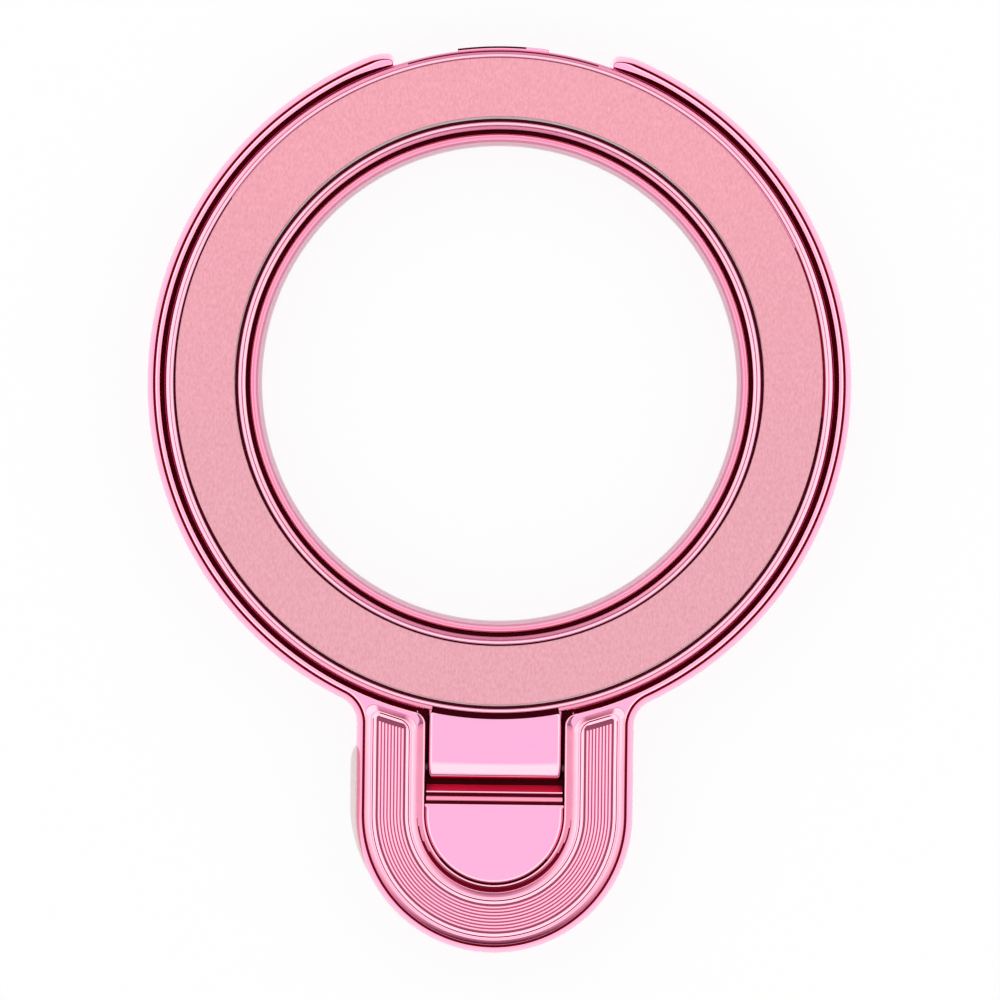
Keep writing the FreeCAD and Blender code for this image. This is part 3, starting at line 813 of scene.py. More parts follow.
@dataclass(frozen=True)
class Finishes:
    """The finished materials of the stand, among them platings that carry painted shade and painted
    reflection.
    """

    plated: bpy.types.Material
    deep_painted_shade: bpy.types.Material
    dark: bpy.types.Material
    shade: bpy.types.Material
    edge: bpy.types.Material
    rose_painted_reflection: bpy.types.Material
    dusk_painted_shade: bpy.types.Material
    facing: bpy.types.Material
    film: bpy.types.Material
    steel: bpy.types.Material
    magnet: bpy.types.Material
    adhesive: bpy.types.Material

    @classmethod
    def mix(cls) -> Finishes:
        """Makes every material.

        Returns:
            The stand's materials.
        """
        groups = Groups(mould_grain(), fine_weave())
        # Settings for the platings that carry painted shade and painted reflection.
        painted_shade_satin = {"rough": (0.3, 0.45), "relief": 0.05, "edge_tint": (0.5, 0.05, 0.1)}
        pink = {"edge_tint": (0.9, 0.2, 0.35)}
        painted_shade_plum = {"edge_tint": (0.5, 0.2, 0.3)}
        metal = {"metallic": 1.0}
        kinds = {
            "plated": PlatedFinish("pink_plating"),
            # Painted shade: dark crimson for the dark reflection on the cover's sloped front.
            "deep_painted_shade": PlatedFinish(
                "deep_painted_shade_plating", (0.72, 0.016, 0.07), (0.52, 0.009, 0.045), metallic=0.6, **painted_shade_satin
            ),
            # Painted shade: dark plating for the dark reflection lines on rims, steps, ledge and well.
            "dark": PlatedFinish("dark_painted_shade_plating", (0.24, 0.004, 0.018), (0.17, 0.002, 0.011), **painted_shade_satin),
            # Painted shade: near-black plating for hollows, gaps and grooves.
            "shade": PlatedFinish("shade_plating", (0.065, 0.003, 0.009), (0.04, 0.002, 0.005), **painted_shade_satin),
            # Painted reflection: a pale tone for the white floor seen in the lowest flanks and feet.
            "edge": BareFinish(
                "pale_painted_reflection_plating", (0.84, 0.68, 0.75), (0.76, 0.61, 0.67), (0.4, 0.5), specular=0.1
            ),
            # Painted reflection: a mid pink on the collar's crest, the cover's edge and bead, and part of the
            # recess.
            "rose_painted_reflection": PlatedFinish("rose_painted_reflection_plating", (0.95, 0.30, 0.50), (0.90, 0.25, 0.44), **pink),
            # Painted shade: dusky plum on the band's groove floor and the step above its panel.
            "dusk_painted_shade": PlatedFinish("dusk_painted_shade_plating", (0.32, 0.085, 0.15), (0.26, 0.06, 0.11), **painted_shade_plum),
            "facing": FacingFinish("woven_facing"),
            "film": BareFinish(
                "backing_film", (0.66, 0.63, 0.65), (0.48, 0.45, 0.47), (0.3, 0.5), grain_scale=900.0
            ),
            # Painted shade: the hinge pin is made nearly black because it lies in shadow.
            "steel": BareFinish("painted_shade_steel", (0.10, 0.05, 0.06), (0.06, 0.03, 0.035), (0.3, 0.45), **metal),
            "magnet": BareFinish("nickel_plate", (0.7, 0.68, 0.64), (0.6, 0.58, 0.55), (0.2, 0.35), **metal),
            "adhesive": BareFinish(
                "foam_tape", (0.92, 0.89, 0.86), (0.82, 0.79, 0.75), (0.75, 0.95), relief=0.4
            ),
        }
        return cls(**{key: kind.material(groups) for key, kind in kinds.items()})


@dataclass
class OutlineSkin:
    """A closed outline in plan with the shape of its edge at each point."""

    points: Plan
    rounds: list[float]
    drafts: list[float]
    drops: list[float] | None = None
    slope: float = 25.0

    def offset(self, distances: list[float], heights: list[float]) -> Row:
        """Moves the outline along its normals.

        Args:
            distances: outward shift of each point, in millimetres.
            heights: height of each point, in millimetres.

        Returns:
            The moved points.
        """
        normals = outward_normals(self.points)
        rows = zip(self.points, normals, distances, heights)
        return [(x + nx * d, y + ny * d, z) for (x, y), (nx, ny), d, z in rows]

    def shoulder(self, top: float, spans: int = 8) -> list[Row]:
        """Gives the rows of the slope and the rounded edge between the flat top and the flank.

        Args:
            top: height of the flat top, in millimetres.
            spans: number of spans in the rounding.

        Returns:
            The rows, from the flat top down.
        """
        centres = [
            -r * (1 - math.sin(math.radians(d))) / math.cos(math.radians(d))
            for r, d in zip(self.rounds, self.drafts)
        ]
        drops = self.drops or [0.0] * len(centres)
        rows = []
        if self.drops:
            spread = [max(0.01, drop / math.tan(math.radians(self.slope))) for drop in drops]
            for part in (0.0, 0.1, 0.28, 0.46, 0.64, 0.9):
                distances = [c - 0.012 - w * (1 - part) for c, w in zip(centres, spread)]
                rows.append(self.offset(distances, [top - drop * part for drop in drops]))
        rows.append(self.offset([c - 0.012 for c in centres], [top - drop for drop in drops]))
        for step in range(spans + 1):
            turns = [math.radians(90 - d) * step / spans for d in self.drafts]
            distances = [c + r * math.sin(t) for c, r, t in zip(centres, self.rounds, turns)]
            heights = [top - drop - r + r * math.cos(t) for r, t, drop in zip(self.rounds, turns, drops)]
            rows.append(self.offset(distances, heights))
        return rows

    def flank(self, top: float, heights: list[float]) -> Row:
        """Gives a row of the drafted flank.

        Args:
            top: height of the flat top, in millimetres.
            heights: height of each point.

        Returns:
            The row.
        """
        slopes = [math.tan(math.radians(d)) for d in self.drafts]
        return self.offset([(top - z) * slope for z, slope in zip(heights, slopes)], heights)


@dataclass
class BaseTray:
    """The fixed moulding: tray, collar, C-shaped wall, tab and ribbed band. Sizes are in millimetres."""

    tray_radius: float = 31.25
    wall_draft: float = 9.0
    wall_inner: float = 30.05
    bottom: float = 0.5
    floor_top: float = 1.5
    # Height of the pale painted reflection along the wall's foot.
    painted_reflection_height: float = 0.5
    # The ledge in the gap beside the ring carries painted shade.
    ledge_top: float = 3.75
    well_floor: float = 1.3
    well_drop: float = 0.26
    rim_top: float = 4.3
    outer_round: float = 0.4
    inner_round: float = 0.09
    nose_outer: float = 22.4
    nose_inner: float = 19.25
    nose_ahead: Pair = (10.75, 28.66)
    nose_back: Pair = (9.5, 28.7)
    nose_close: float = 0.32
    nose_length: int = 9
    nose_spans: int = 24
    ledge_reach: float = 0.4
    tab_reach: float = 38.25
    tab_radius: float = 12.3
    tab_fillet: float = 2.4
    slot_half: float = 6.2
    slot_corner: float = 1.1
    hole_radius: float = 21.05
    foot_radius: float = 21.40
    foot_top: float = 1.2
    collar_shoulder: float = 21.58
    collar_inner: float = 21.70
    collar_outer: float = 22.12
    collar_bevel: float = 0.1
    # Width of the painted shade strip on the floor beside the collar.
    shaded: float = 0.6
    plate_radius: float = 29.70
    band_radius: float = 9.2
    band_width: float = 4.6
    band_top: float = 4.65
    band_end: float = 30.55
    panel_width: float = 3.2
    panel_floor: float = 4.57
    groove_width: float = 2.6
    groove_floor: float = 4.45
    rib_count: int = 8
    rib_pitch: float = 0.29
    rib_height: float = 0.1
    rib_share: float = 0.84
    rib_sides: int = 12
    rib_end: float = 31.75

    def build(self, finishes: Finishes, turned: TurnedProfile, ribs: SweptRibs) -> bpy.types.Object:
        """Builds and joins the tray's parts.

        Args:
            finishes: the stand's materials.
            turned: the tree for turned parts.
            ribs: the tree for ribs.

        Returns:
            The tray.
        """
        parts = [
            self.build_wall(finishes),
            self.build_plate(finishes, turned),
            self.build_band(finishes),
            self.build_ribs(finishes.plated, ribs),
        ]
        return join_pieces("tray_moulding", parts)

    def wall_outline(self) -> tuple[OutlineSkin, list[float]]:
        """Draws the top outline of the wall and the tab, counter-clockwise.

        Returns:
            The outline, and for each point how far the floor reaches in under the ring.
        """
        lean = (self.rim_top - self.bottom) * math.tan(math.radians(self.wall_draft))
        outer = self.tray_radius - lean
        tab = self.tab_radius - lean
        bend = self.tab_fillet + lean
        bend_x = self.tab_radius + self.tab_fillet
        bend_y = -math.sqrt((self.tray_radius + self.tab_fillet) ** 2 - bend_x**2)
        meet = math.degrees(math.atan2(-bend_y, bend_x))
        corner_x = self.slot_half + self.slot_corner
        corner_y = -math.sqrt((self.wall_inner + self.slot_corner) ** 2 - corner_x**2)
        turn = math.degrees(math.atan2(-corner_y, corner_x))
        low = (0.0, -self.tab_reach)
        origin = (0.0, 0.0)
        outside = [
            *arc_points(origin, outer, 90 + self.nose_outer, 180 + meet, 1.0),
            *arc_points((-bend_x, bend_y), bend, meet, 0, 4.0)[1:],
            *line_points((-tab, bend_y), (-tab, low[1]), 0.6),
            *arc_points(low, tab, 180, 360, 2.0),
            *line_points((tab, low[1]), (tab, bend_y), 0.6),
            *arc_points((bend_x, bend_y), bend, 180, 180 - meet, 4.0)[:-1],
            *arc_points(origin, outer, 360 - meet, 450 - self.nose_outer, 1.0),
        ]
        track_right = arc_points(origin, self.wall_inner, 90 - self.nose_inner, -turn, 1.0)
        shares = [max(0.0, 1 - n / self.nose_length) for n in range(len(track_right))]
        closing = [self.nose_close * share**1.5 for share in shares]
        shrink = [1 - inward / self.wall_inner for inward in closing]
        track_right = [(x * k, y * k) for (x, y), k in zip(track_right, shrink)]
        mouth = arc_points((corner_x, corner_y), self.slot_corner, 180 - turn, 180, 6.0)[1:]
        bend_steps = len(mouth)
        well = [
            *mouth,
            *line_points((self.slot_half, corner_y), (self.slot_half, low[1]), 0.6),
            *arc_points(low, self.slot_half, 0, -180, 3.0),
            *line_points((-self.slot_half, low[1]), (-self.slot_half, corner_y), 0.6),
            *arc_points((-corner_x, corner_y), self.slot_corner, 0, turn, 6.0)[:-1],
        ]
        track_left = [(-x, y) for x, y in track_right[::-1]]
        noses = []
        for tip_out, tip_in, way in ((outside[-1], track_right[0], 1), (outside[0], track_left[-1], -1)):
            ahead = (way * self.nose_ahead[0], self.nose_ahead[1])
            back = (way * self.nose_back[0], self.nose_back[1])
            noses.append(bezier_points((tip_out, ahead, back, tip_in), self.nose_spans))
        right_nose, left_nose = noses[0], noses[1][::-1]
        points = [*outside, *right_nose, *track_right, *well, *track_left, *left_nose]
        steps = len(right_nose) + 1
        fade = [1 - index / steps for index in range(1, steps)]
        inside = len(track_right) + len(well) + len(track_left)
        reach = [self.ledge_reach - inward for inward in closing]
        ledges = [0.0] * (len(outside) + len(fade)) + reach + [0.0] * len(well)
        ledges += reach[::-1] + [0.0] * len(fade)
        soft = [t**3 for t in fade]
        steep = [min(1.0, 2.2 * t) for t in fade]
        edges = [1.0] * len(outside) + soft + [0.0] * inside + soft[::-1]
        leans = [1.0] * len(outside) + steep + [0.0] * inside + steep[::-1]
        rounds = [self.inner_round + (self.outer_round - self.inner_round) * w for w in edges]
        bends = [(step + 1) / bend_steps for step in range(bend_steps)]
        slopes = [*bends, *[1.0] * (len(well) - 2 * bend_steps), *bends[::-1]]
        drops = [0.0] * (len(outside) + len(fade) + len(track_right)) + [self.well_drop * w for w in slopes]
        drops += [0.0] * (len(track_left) + len(fade))
        return OutlineSkin(points, rounds, [self.wall_draft * w for w in leans], drops), ledges

    def build_wall(self, finishes: Finishes) -> bpy.types.Object:
        """Builds the C-shaped wall and the body of the tab in one skin.

        Args:
            finishes: the stand's materials.

        Returns:
            The wall, with painted shade in the track, in the hinge's well and below its crest, and a pale
            painted reflection along its foot.
        """
        outline, ledges = self.wall_outline()
        weights = [draft / self.wall_draft for draft in outline.drafts]
        inner = [self.ledge_top if ledge else self.floor_top - 0.005 for ledge in ledges]
        foot = [w * (self.bottom + 0.08) + (1 - w) * z for w, z in zip(weights, inner)]
        middle = [(self.rim_top - 0.5 + z) / 2 for z in foot]
        line = [w * (self.bottom + self.painted_reflection_height) + (1 - w) * (z + 0.1) for w, z in zip(weights, foot)]
        rows = outline.shoulder(self.rim_top)
        rows += [outline.flank(self.rim_top, heights) for heights in (middle, line, foot)]
        lean = math.tan(math.radians(self.wall_draft))
        reach = [(self.rim_top - self.bottom) * lean * w for w in weights]
        under = [w * self.bottom + (1 - w) * z for w, z in zip(weights, foot)]
        for inset, heights in ((0.05, under), (0.1, [self.bottom] * len(weights))):
            distances = [r - inset * w + ledge for r, w, ledge in zip(reach, weights, ledges)]
            rows.append(outline.offset(distances, heights))
        shell = Shell()
        shell.close(rows)
        corner = self.slot_half + self.slot_corner
        floor = arc_points((0.0, -self.tab_reach), self.slot_half + 0.2, 180, 360, 4.0)
        floor += [(corner - 1.0, -30.6), (corner, -30.3), (corner, -28.2)]
        floor += [(-corner, -28.2), (-corner, -30.3), (1.0 - corner, -30.6)]
        shell.close([[(x, y, z) for x, y in floor] for z in (self.bottom + 0.1, self.well_floor)])
        wall = shell.piece("wall", finishes.plated)
        low = Vector((0.0, -self.tab_reach))

        def well_painted_shade(middle: Vector, normal: Vector) -> bool:
            """Tells the inside of the well, below the rim, which is painted shade."""
            in_well = abs(middle.x) < self.slot_half + 0.3 and (middle.xy - low).length < 11.0
            return middle.z < self.rim_top - 0.6 and in_well and normal.z > -0.5

        def crest_painted_shade(middle: Vector, normal: Vector) -> bool:
            """Tells the part of the rounded outer edge just below its crest, which is painted shade."""
            round_tab = middle.y < low.y and (middle.xy - low).length > self.band_radius
            outside = abs(middle.x) > self.band_radius or middle.y > 0 or round_tab
            return outside and middle.z > self.rim_top - 0.45 and 0.36 < normal.z < 0.91

        def well_slope_painted_shade(middle: Vector, normal: Vector) -> bool:
            """Tells the upper part of the slope round the well, which is painted shade in a strip that
            narrows towards the arms.
            """
            across = middle.xy - low
            fall = (self.rim_top - middle.z) / self.well_drop
            low_share = min(1.0, max(0.0, -across.y / across.length * 1.6))
            near = across.length < self.slot_half + 1.0
            return near and middle.y < low.y and 0.01 < fall < 0.66 * low_share

        painted_reflection_top = self.bottom + self.painted_reflection_height
        # Painted shade in the well, round the well, below the crest and on the ledge; a pale painted
        # reflection along the foot.
        paint_faces(wall, finishes.shade, well_painted_shade)
        paint_faces(wall, finishes.dark, well_slope_painted_shade)
        paint_faces(wall, finishes.dark, crest_painted_shade)
        paint_faces(wall, finishes.dark, lambda middle, normal: abs(middle.z - self.ledge_top) < 0.11)
        paint_faces(wall, finishes.edge, lambda middle, normal: middle.z < painted_reflection_top and normal.z > 0)
        return wall

    def build_plate(self, finishes: Finishes, turned: TurnedProfile) -> bpy.types.Object:
        """Builds the round plate with its foot and collar.

        Args:
            finishes: the stand's materials.
            turned: the tree for turned parts.

        Returns:
            The plate, with a strip of painted shade beside its collar, a pale painted reflection on its foot
            and a painted reflection on its collar's crest.
        """
        profile = rounded_profile(
            [
                (self.plate_radius, self.bottom, 0.1),
                (self.plate_radius, self.floor_top, 0.15),
                (self.collar_outer + self.shaded, self.floor_top, 0.0),
                (self.collar_outer, self.floor_top, 0.1),
                (self.collar_outer, self.rim_top, 0.25),
                (self.collar_inner, self.rim_top, 0.03),
                (self.collar_shoulder, self.rim_top - self.collar_bevel, 0.03),
                (self.foot_radius, self.foot_top, 0.08),
                (self.hole_radius, self.foot_top, 0.12),
                (self.hole_radius, self.bottom, 0.1),
            ]
        )
        plate = turned.turn("plate", profile, finishes.plated)

        def track_painted_shade(middle: Vector, normal: Vector) -> bool:
            """Tells the strip of the floor beside the collar, which is painted shade."""
            beside = self.collar_outer < middle.xy.length < self.collar_outer + self.shaded
            return middle.z < self.floor_top + 0.06 and normal.z > 0.3 and beside

        def collar_painted_reflection(middle: Vector, normal: Vector) -> bool:
            """Tells the outer part of the collar's crest, which takes a painted reflection."""
            across = self.collar_inner + 0.08 < middle.xy.length < self.collar_outer + 0.02
            return across and middle.z > 3.5

        # Painted shade beside the collar, a pale painted reflection on the foot and a painted reflection on
        # the collar's crest.
        paint_faces(plate, finishes.shade, track_painted_shade)
        paint_faces(plate, finishes.edge, lambda middle, normal: middle.xy.length < self.foot_radius + 0.02)
        paint_faces(plate, finishes.rose_painted_reflection, collar_painted_reflection)
        return plate

    def band_row(self, width: float, end: float, corner: float, height: float) -> Row:
        """Draws a U-shaped row of the band, counter-clockwise.

        Args:
            width: the U's own width.
            end: radius about the ring at which its arms stop.
            corner: rounding of the arms' ends.
            height: the row's height.

        Returns:
            The row, with as many points for every width.
        """
        inner = self.band_radius - width / 2
        outer = self.band_radius + width / 2
        low = (0.0, -self.tab_reach)

        def arm_end(first: float, last: float) -> Plan:
            """Draws the rounded end of an arm.

            Args:
                first: x of the side on which it starts.
                last: x of the side on which it stops.

            Returns:
                The end's points.
            """
            start = (first, -math.sqrt(end**2 - first**2))
            stop = (last, -math.sqrt(end**2 - last**2))
            along = Vector(stop) - Vector(start)
            along = along.normalized() * min(corner, along.length * 0.48)
            bends = []
            for tip, inward in ((start, along), (stop, -along)):
                down = (tip[0], tip[1] - along.length)
                across = (tip[0] + inward.x, tip[1] + inward.y)
                handles = [
                    tuple(side[k] + QUARTER_HANDLE * (tip[k] - side[k]) for k in (0, 1))
                    for side in (down, across)
                ]
                bends.append([down, *bezier_points((down, *handles, across), 8), across])
            return [*bends[0], *bends[1][::-1]]

        right = arm_end(outer, inner)
        left = arm_end(-inner, -outer)
        points = [
            *arc_points(low, outer, 180, 360, 2.5),
            *line_points((outer, low[1]), right[0], 100.0),
            *right,
            *line_points(right[-1], (inner, low[1]), 100.0),
            *arc_points(low, inner, 360, 180, 2.5),
            *line_points((-inner, low[1]), left[0], 100.0),
            *left,
            *line_points(left[-1], (-outer, low[1]), 100.0),
        ]
        return [(x, y, height) for x, y in points]

    def build_band(self, finishes: Finishes) -> bpy.types.Object:
        """Builds the raised U-shaped band with its stepped recess, which is painted shade between the ribs.

        Args:
            finishes: the stand's materials.

        Returns:
            The band.
        """
        steps = [
            (self.band_width, 0.0, 1.1, self.rim_top - 0.4),
            (self.band_width, 0.0, 1.1, self.rim_top + 0.155),
            (self.band_width - 0.02, 0.01, 1.1, self.rim_top + 0.18),
            (self.band_width - 0.06, 0.03, 1.1, self.rim_top + 0.19),
            (self.band_width - 0.80, 0.40, 0.9, self.band_top - 0.016),
            (self.band_width - 0.86, 0.42, 0.88, self.band_top - 0.004),
            (self.band_width - 0.92, 0.44, 0.86, self.band_top),
            (self.panel_width + 0.18, 0.45, 0.85, self.band_top),
            (self.panel_width + 0.10, 0.48, 0.82, self.band_top - 0.01),
            (self.panel_width - 0.08, 0.57, 0.78, self.panel_floor + 0.01),
            (self.panel_width - 0.16, 0.61, 0.75, self.panel_floor),
            (self.groove_width + 0.06, 0.77, 0.45, self.panel_floor),
            (self.groove_width, 0.8, 0.35, self.panel_floor - 0.02),
            (self.groove_width - 0.03, 0.82, 0.33, self.groove_floor + 0.01),
            (self.groove_width - 0.06, 0.84, 0.3, self.groove_floor),
        ]
        rows = [self.band_row(width, self.band_end + inset, corner, z) for width, inset, corner, z in steps]
        band = Shell.solid("band", rows, finishes.plated)

        def steps_painted_shade(middle: Vector, normal: Vector) -> bool:
            """Tells the groove's floor and the thin step above the panel, which are painted shade."""
            step = self.panel_floor + 0.015 < middle.z < self.band_top - 0.02 and 0.7 < normal.z < 0.88
            return step or (middle.z < self.groove_floor + 0.02 and normal.z > 0.5)

        # Painted shade on the groove's floor and on the thin step above the panel.
        paint_faces(band, finishes.dusk_painted_shade, steps_painted_shade)
        return band

    def build_ribs(self, plating: bpy.types.Material, ribs: SweptRibs) -> bpy.types.Object:
        """Builds the fine ribs that follow the U.

        Args:
            plating: the tray's material.
            ribs: the tree for ribs.

        Returns:
            The ribs.
        """
        curve = bpy.data.curves.new("ribs", "CURVE")
        curve.dimensions = "3D"
        for number in range(self.rib_count):
            radius = self.band_radius + (number - (self.rib_count - 1) / 2) * self.rib_pitch
            top = -math.sqrt(self.rib_end**2 - radius**2)
            path = [(-radius, top), *arc_points((0.0, -self.tab_reach), radius, 180, 360, 2.0), (radius, top)]
            spline = curve.splines.new("POLY")
            spline.points.add(len(path) - 1)
            for point, (x, y) in zip(spline.points, path):
                point.co = (x * MM, (y + RING_Y) * MM, self.groove_floor * MM, 1.0)
        carrier = add_object("ribs", curve)
        inputs = {
            "Width": self.rib_pitch * self.rib_share * MM,
            "Height": self.rib_height * MM,
            "Sides": self.rib_sides,
            "Material": plating,
        }
        return grow(carrier, ribs.tree, inputs)


@dataclass
class FlipRing:
    """The moving ring with its stepped rims, neck and knuckle. Sizes are in millimetres."""

    outer: float = 29.55
    inner: float = 22.46
    bottom: float = 1.7
    flange_top: float = 4.2
    top: float = 4.55
    outer_step: float = 29.2
    recess_outer: float = 28.86
    recess_inner: float = 23.16
    inner_step: float = 22.78
    rim_half: float = 0.16
    rim_dome: float = 0.24
    flange_fall: float = 0.13
    channel_outer: float = 28.0
    channel_inner: float = 24.03
    channel_floor: float = 2.7
    neck_root: float = 28.45
    neck_half: float = 5.95
    neck_top: float = 4.0
    neck_round: float = 0.4
    hinge_reach: float = 34.05
    hinge_height: float = 2.85
    knuckle_radius: float = 1.15
    bevel_start: float = 33.85
    bevel_end: float = 34.72
    bevel_turn: Pair = (9.0, 19.0)
    ramp_width: float = 0.52
    lip_half_angle: float = 7.8
    # Radii of the painted shade line on the outer flange, and half the width of the opening where it is
    # painted.
    flange_painted_shade: Pair = (29.33, 29.46)
    opening_half: float = 8.5
    # Angles of the recess sector with a painted reflection, and where the painted shade sector before it
    # starts.
    light: Pair = (25.0, 146.0)
    painted_shade_start: float = -5.0
    # How far the painted shade on the lip's outer edge reaches.
    lip_painted_shade_end: float = 2.0
    lip_reach: float = 0.3

    def build(self, finishes: Finishes, turned: TurnedProfile) -> bpy.types.Object:
        """Builds and joins the ring's parts.

        Args:
            finishes: the stand's materials.
            turned: the tree for turned parts.

        Returns:
            The ring.
        """
        edges = self.build_edges(finishes, turned)
        hoop = self.build_hoop(finishes, turned)
        return join_pieces("ring_moulding", [hoop, self.build_neck(finishes.plated), *edges])

    def crest(self, middle: float) -> Row:
        """Gives the domed crest of a rim, from its outer side to its inner side.

        Args:
            middle: radius of the crest's middle.

        Returns:
            Corners for a profile, without rounding.
        """
        reach = math.degrees(math.asin(self.rim_half / self.rim_dome))
        arc = arc_points((middle, self.top - self.rim_dome), self.rim_dome, 90 - reach, 90 + reach, 6.0)
        return [(x, z, 0.0) for x, z in arc]

    def flange_line(self) -> Row:
        """Gives the two rows that bound the painted shade line on the outer flange, on its slope."""
        fall = self.flange_fall / (self.outer - self.outer_step)
        return [(r, self.flange_top - (r - self.outer_step) * fall, 0.0) for r in self.flange_painted_shade[::-1]]

    def build_hoop(self, finishes: Finishes, turned: TurnedProfile) -> bpy.types.Object:
        """Turns the hoop with its two stepped rims and the channel between them.

        Args:
            finishes: the stand's materials.
            turned: the tree for turned parts.

        Returns:
            The hoop.
        """
        profile = rounded_profile(
            [
                (self.inner, self.bottom, 0.2),
                (self.outer, self.bottom, 0.2),
                (self.outer, self.flange_top - self.flange_fall, 0.1),
                *self.flange_line(),
                (self.outer_step, self.flange_top, 0.04),
                *self.crest((self.outer_step + self.recess_outer) / 2),
                (self.recess_outer, self.flange_top, 0.03),
                (self.channel_outer, self.flange_top, 0.0),
                (self.channel_outer, self.channel_floor, 0.0),
                (self.channel_inner, self.channel_floor, 0.0),
                (self.channel_inner, self.flange_top, 0.0),
                (self.recess_inner, self.flange_top, 0.03),
                *self.crest((self.recess_inner + self.inner_step) / 2),
                (self.inner_step, self.flange_top, 0.04),
                (self.inner, self.flange_top - self.flange_fall, 0.1),
            ]
        )
        hoop = turned.turn("hoop", profile, finishes.plated)

        def recess_painted_shade(middle: Vector, normal: Vector) -> bool:
            """Tells the recess and the channel for the magnets, which are painted shade."""
            between = self.recess_inner - 0.01 < middle.xy.length < self.recess_outer + 0.01
            return between and self.channel_floor - 0.1 < middle.z < self.flange_top + 0.04

        def step_painted_shade(middle: Vector, normal: Vector) -> bool:
            """Tells the steep sides of the rims, which are painted shade."""
            return middle.z > self.flange_top + 0.01 and normal.z < 0.77

        def opening_painted_shade(middle: Vector, normal: Vector) -> bool:
            """Tells the painted shade line on the outer flange where the tray's wall is open."""
            on_line = self.flange_painted_shade[0] < middle.xy.length < self.flange_painted_shade[1]
            return on_line and normal.z > 0.5 and middle.y > 0 and abs(middle.x) < self.opening_half

        def in_sector(first: float, last: float) -> FaceTest:
            """Gives a test for the outer part of the recess between two angles.

            Args:
                first: the smaller angle, in degrees.
                last: the larger angle, in degrees.

            Returns:
                The test.
            """

            def test(middle: Vector, normal: Vector) -> bool:
                """Tells whether a face lies in the sector."""
                outer = middle.xy.length > self.channel_outer
                way = math.degrees(math.atan2(middle.y, middle.x))
                return outer and first < way <= last and recess_painted_shade(middle, normal)

            return test

        # Painted shade on the rims' steep sides, in the recess and on the flange line in the opening; in the
        # outer recess, painted shade in one sector and a painted reflection in the next.
        paint_faces(hoop, finishes.dark, step_painted_shade)
        paint_faces(hoop, finishes.shade, recess_painted_shade)
        paint_faces(hoop, finishes.dark, opening_painted_shade)
        paint_faces(hoop, finishes.dark, in_sector(self.painted_shade_start, self.light[0]))
        paint_faces(hoop, finishes.rose_painted_reflection, in_sector(*self.light))
        return hoop

    def build_neck(self, plating: bpy.types.Material) -> bpy.types.Object:
        """Builds the neck and the round knuckle at its end.

        Args:
            plating: the ring's material.

        Returns:
            The neck.
        """
        root = -self.neck_root
        side = [
            *line_points((root, self.neck_top), (-self.bevel_start, self.neck_top), 0.5),
            *self.nose(),
            *line_points((-self.hinge_reach, self.bottom), (root, self.bottom), 0.5),
            (root, self.bottom + 0.4),
            (root, self.neck_top - 0.4),
        ]
        normals = outward_normals(side)
        rows = []
        spans = 8
        for way in (-1, 1):
            for step in range(spans + 1):
                turn = math.pi / 2 * (step if way < 0 else spans - step) / spans
                inset = self.neck_round * (1 - math.sin(turn))
                x = way * (self.neck_half - self.neck_round * (1 - math.cos(turn)))
                rows.append([(x, y - ny * inset, z - nz * inset) for (y, z), (ny, nz) in zip(side, normals)])
        return Shell.solid("neck", rows, plating)

    def nose(self) -> Plan:
        """Gives the side of the neck's end: a faint bevel, a tight turn and the round knuckle.

        Returns:
            Points (y, z) from the flat top to the underside.
        """
        points, spans = [(-self.bevel_start, self.neck_top)], 8
        length = (self.bevel_end - self.bevel_start) / spans
        for step in range(spans):
            turn = self.bevel_turn[0] + (self.bevel_turn[1] - self.bevel_turn[0]) * step / (spans - 1)
            y, z = points[-1]
            points.append((y - length, z - length * math.tan(math.radians(turn))))
        y, z = points[-1]
        radius = self.neck_round + 0.03
        centre = (y + radius * math.sin(math.radians(turn)), z - radius * math.cos(math.radians(turn)))
        points += arc_points(centre, radius, 90 + turn, 155, 9.0)[1:]
        knuckle = (-self.hinge_reach, self.hinge_height)
        return points + arc_points(knuckle, self.knuckle_radius, 168, 270, 6.0)

    def build_edges(self, finishes: Finishes, turned: TurnedProfile) -> list[bpy.types.Object]:
        """Turns the hollow ramp from the rim to the neck, painted shade all over, and the lift lip at the top
        of the ring.

        Args:
            finishes: the stand's materials.
            turned: the tree for turned parts.

        Returns:
            The ramp and the lip.
        """
        foot = self.outer_step + self.ramp_width
        rise = self.top - 0.1 - self.neck_top
        start = self.outer_step - self.rim_half
        ramp = rounded_profile(
            [
                (start, self.neck_top - 0.3, 0.0),
                (foot + 0.12, self.neck_top - 0.3, 0.0),
                (foot + 0.12, self.neck_top - 0.02, 0.0),
                (foot, self.neck_top + 0.02, 0.06),
                (self.outer_step, self.neck_top + rise, 0.05),
                (start, self.neck_top + rise, 0.0),
            ]
        )
        half = math.degrees(math.asin((self.neck_half - self.neck_round * 0.7) / foot))
        # The ramp is painted shade all over.
        ramp_piece = turned.turn("ramp", ramp, finishes.shade, 40, (270 - half, 270 + half))
        top = self.flange_top - 0.5
        edge = self.outer + self.lip_reach * 0.45
        lip = rounded_profile(
            [
                (self.outer - 0.3, top - 1.1, 0.0),
                (self.outer + self.lip_reach, top - 1.1, 0.15),
                (self.outer + self.lip_reach, top, 0.08),
                (edge, top, 0.0),
                (self.outer - 0.3, top, 0.0),
            ]
        )
        span = (90 - self.lip_half_angle, 90 + self.lip_half_angle)
        lip_piece = turned.turn("lip", lip, finishes.plated, 60, span)

        def painted_edge(middle: Vector, normal: Vector) -> bool:
            """Tells the outer edge of the lip's top, which is painted shade up to where the light falls on
            it.
            """
            return normal.z > 0.3 and middle.xy.length > edge and middle.x < self.lip_painted_shade_end

        # Painted shade on the lip's outer edge.
        paint_faces(lip_piece, finishes.shade, painted_edge)
        return [ramp_piece, lip_piece]


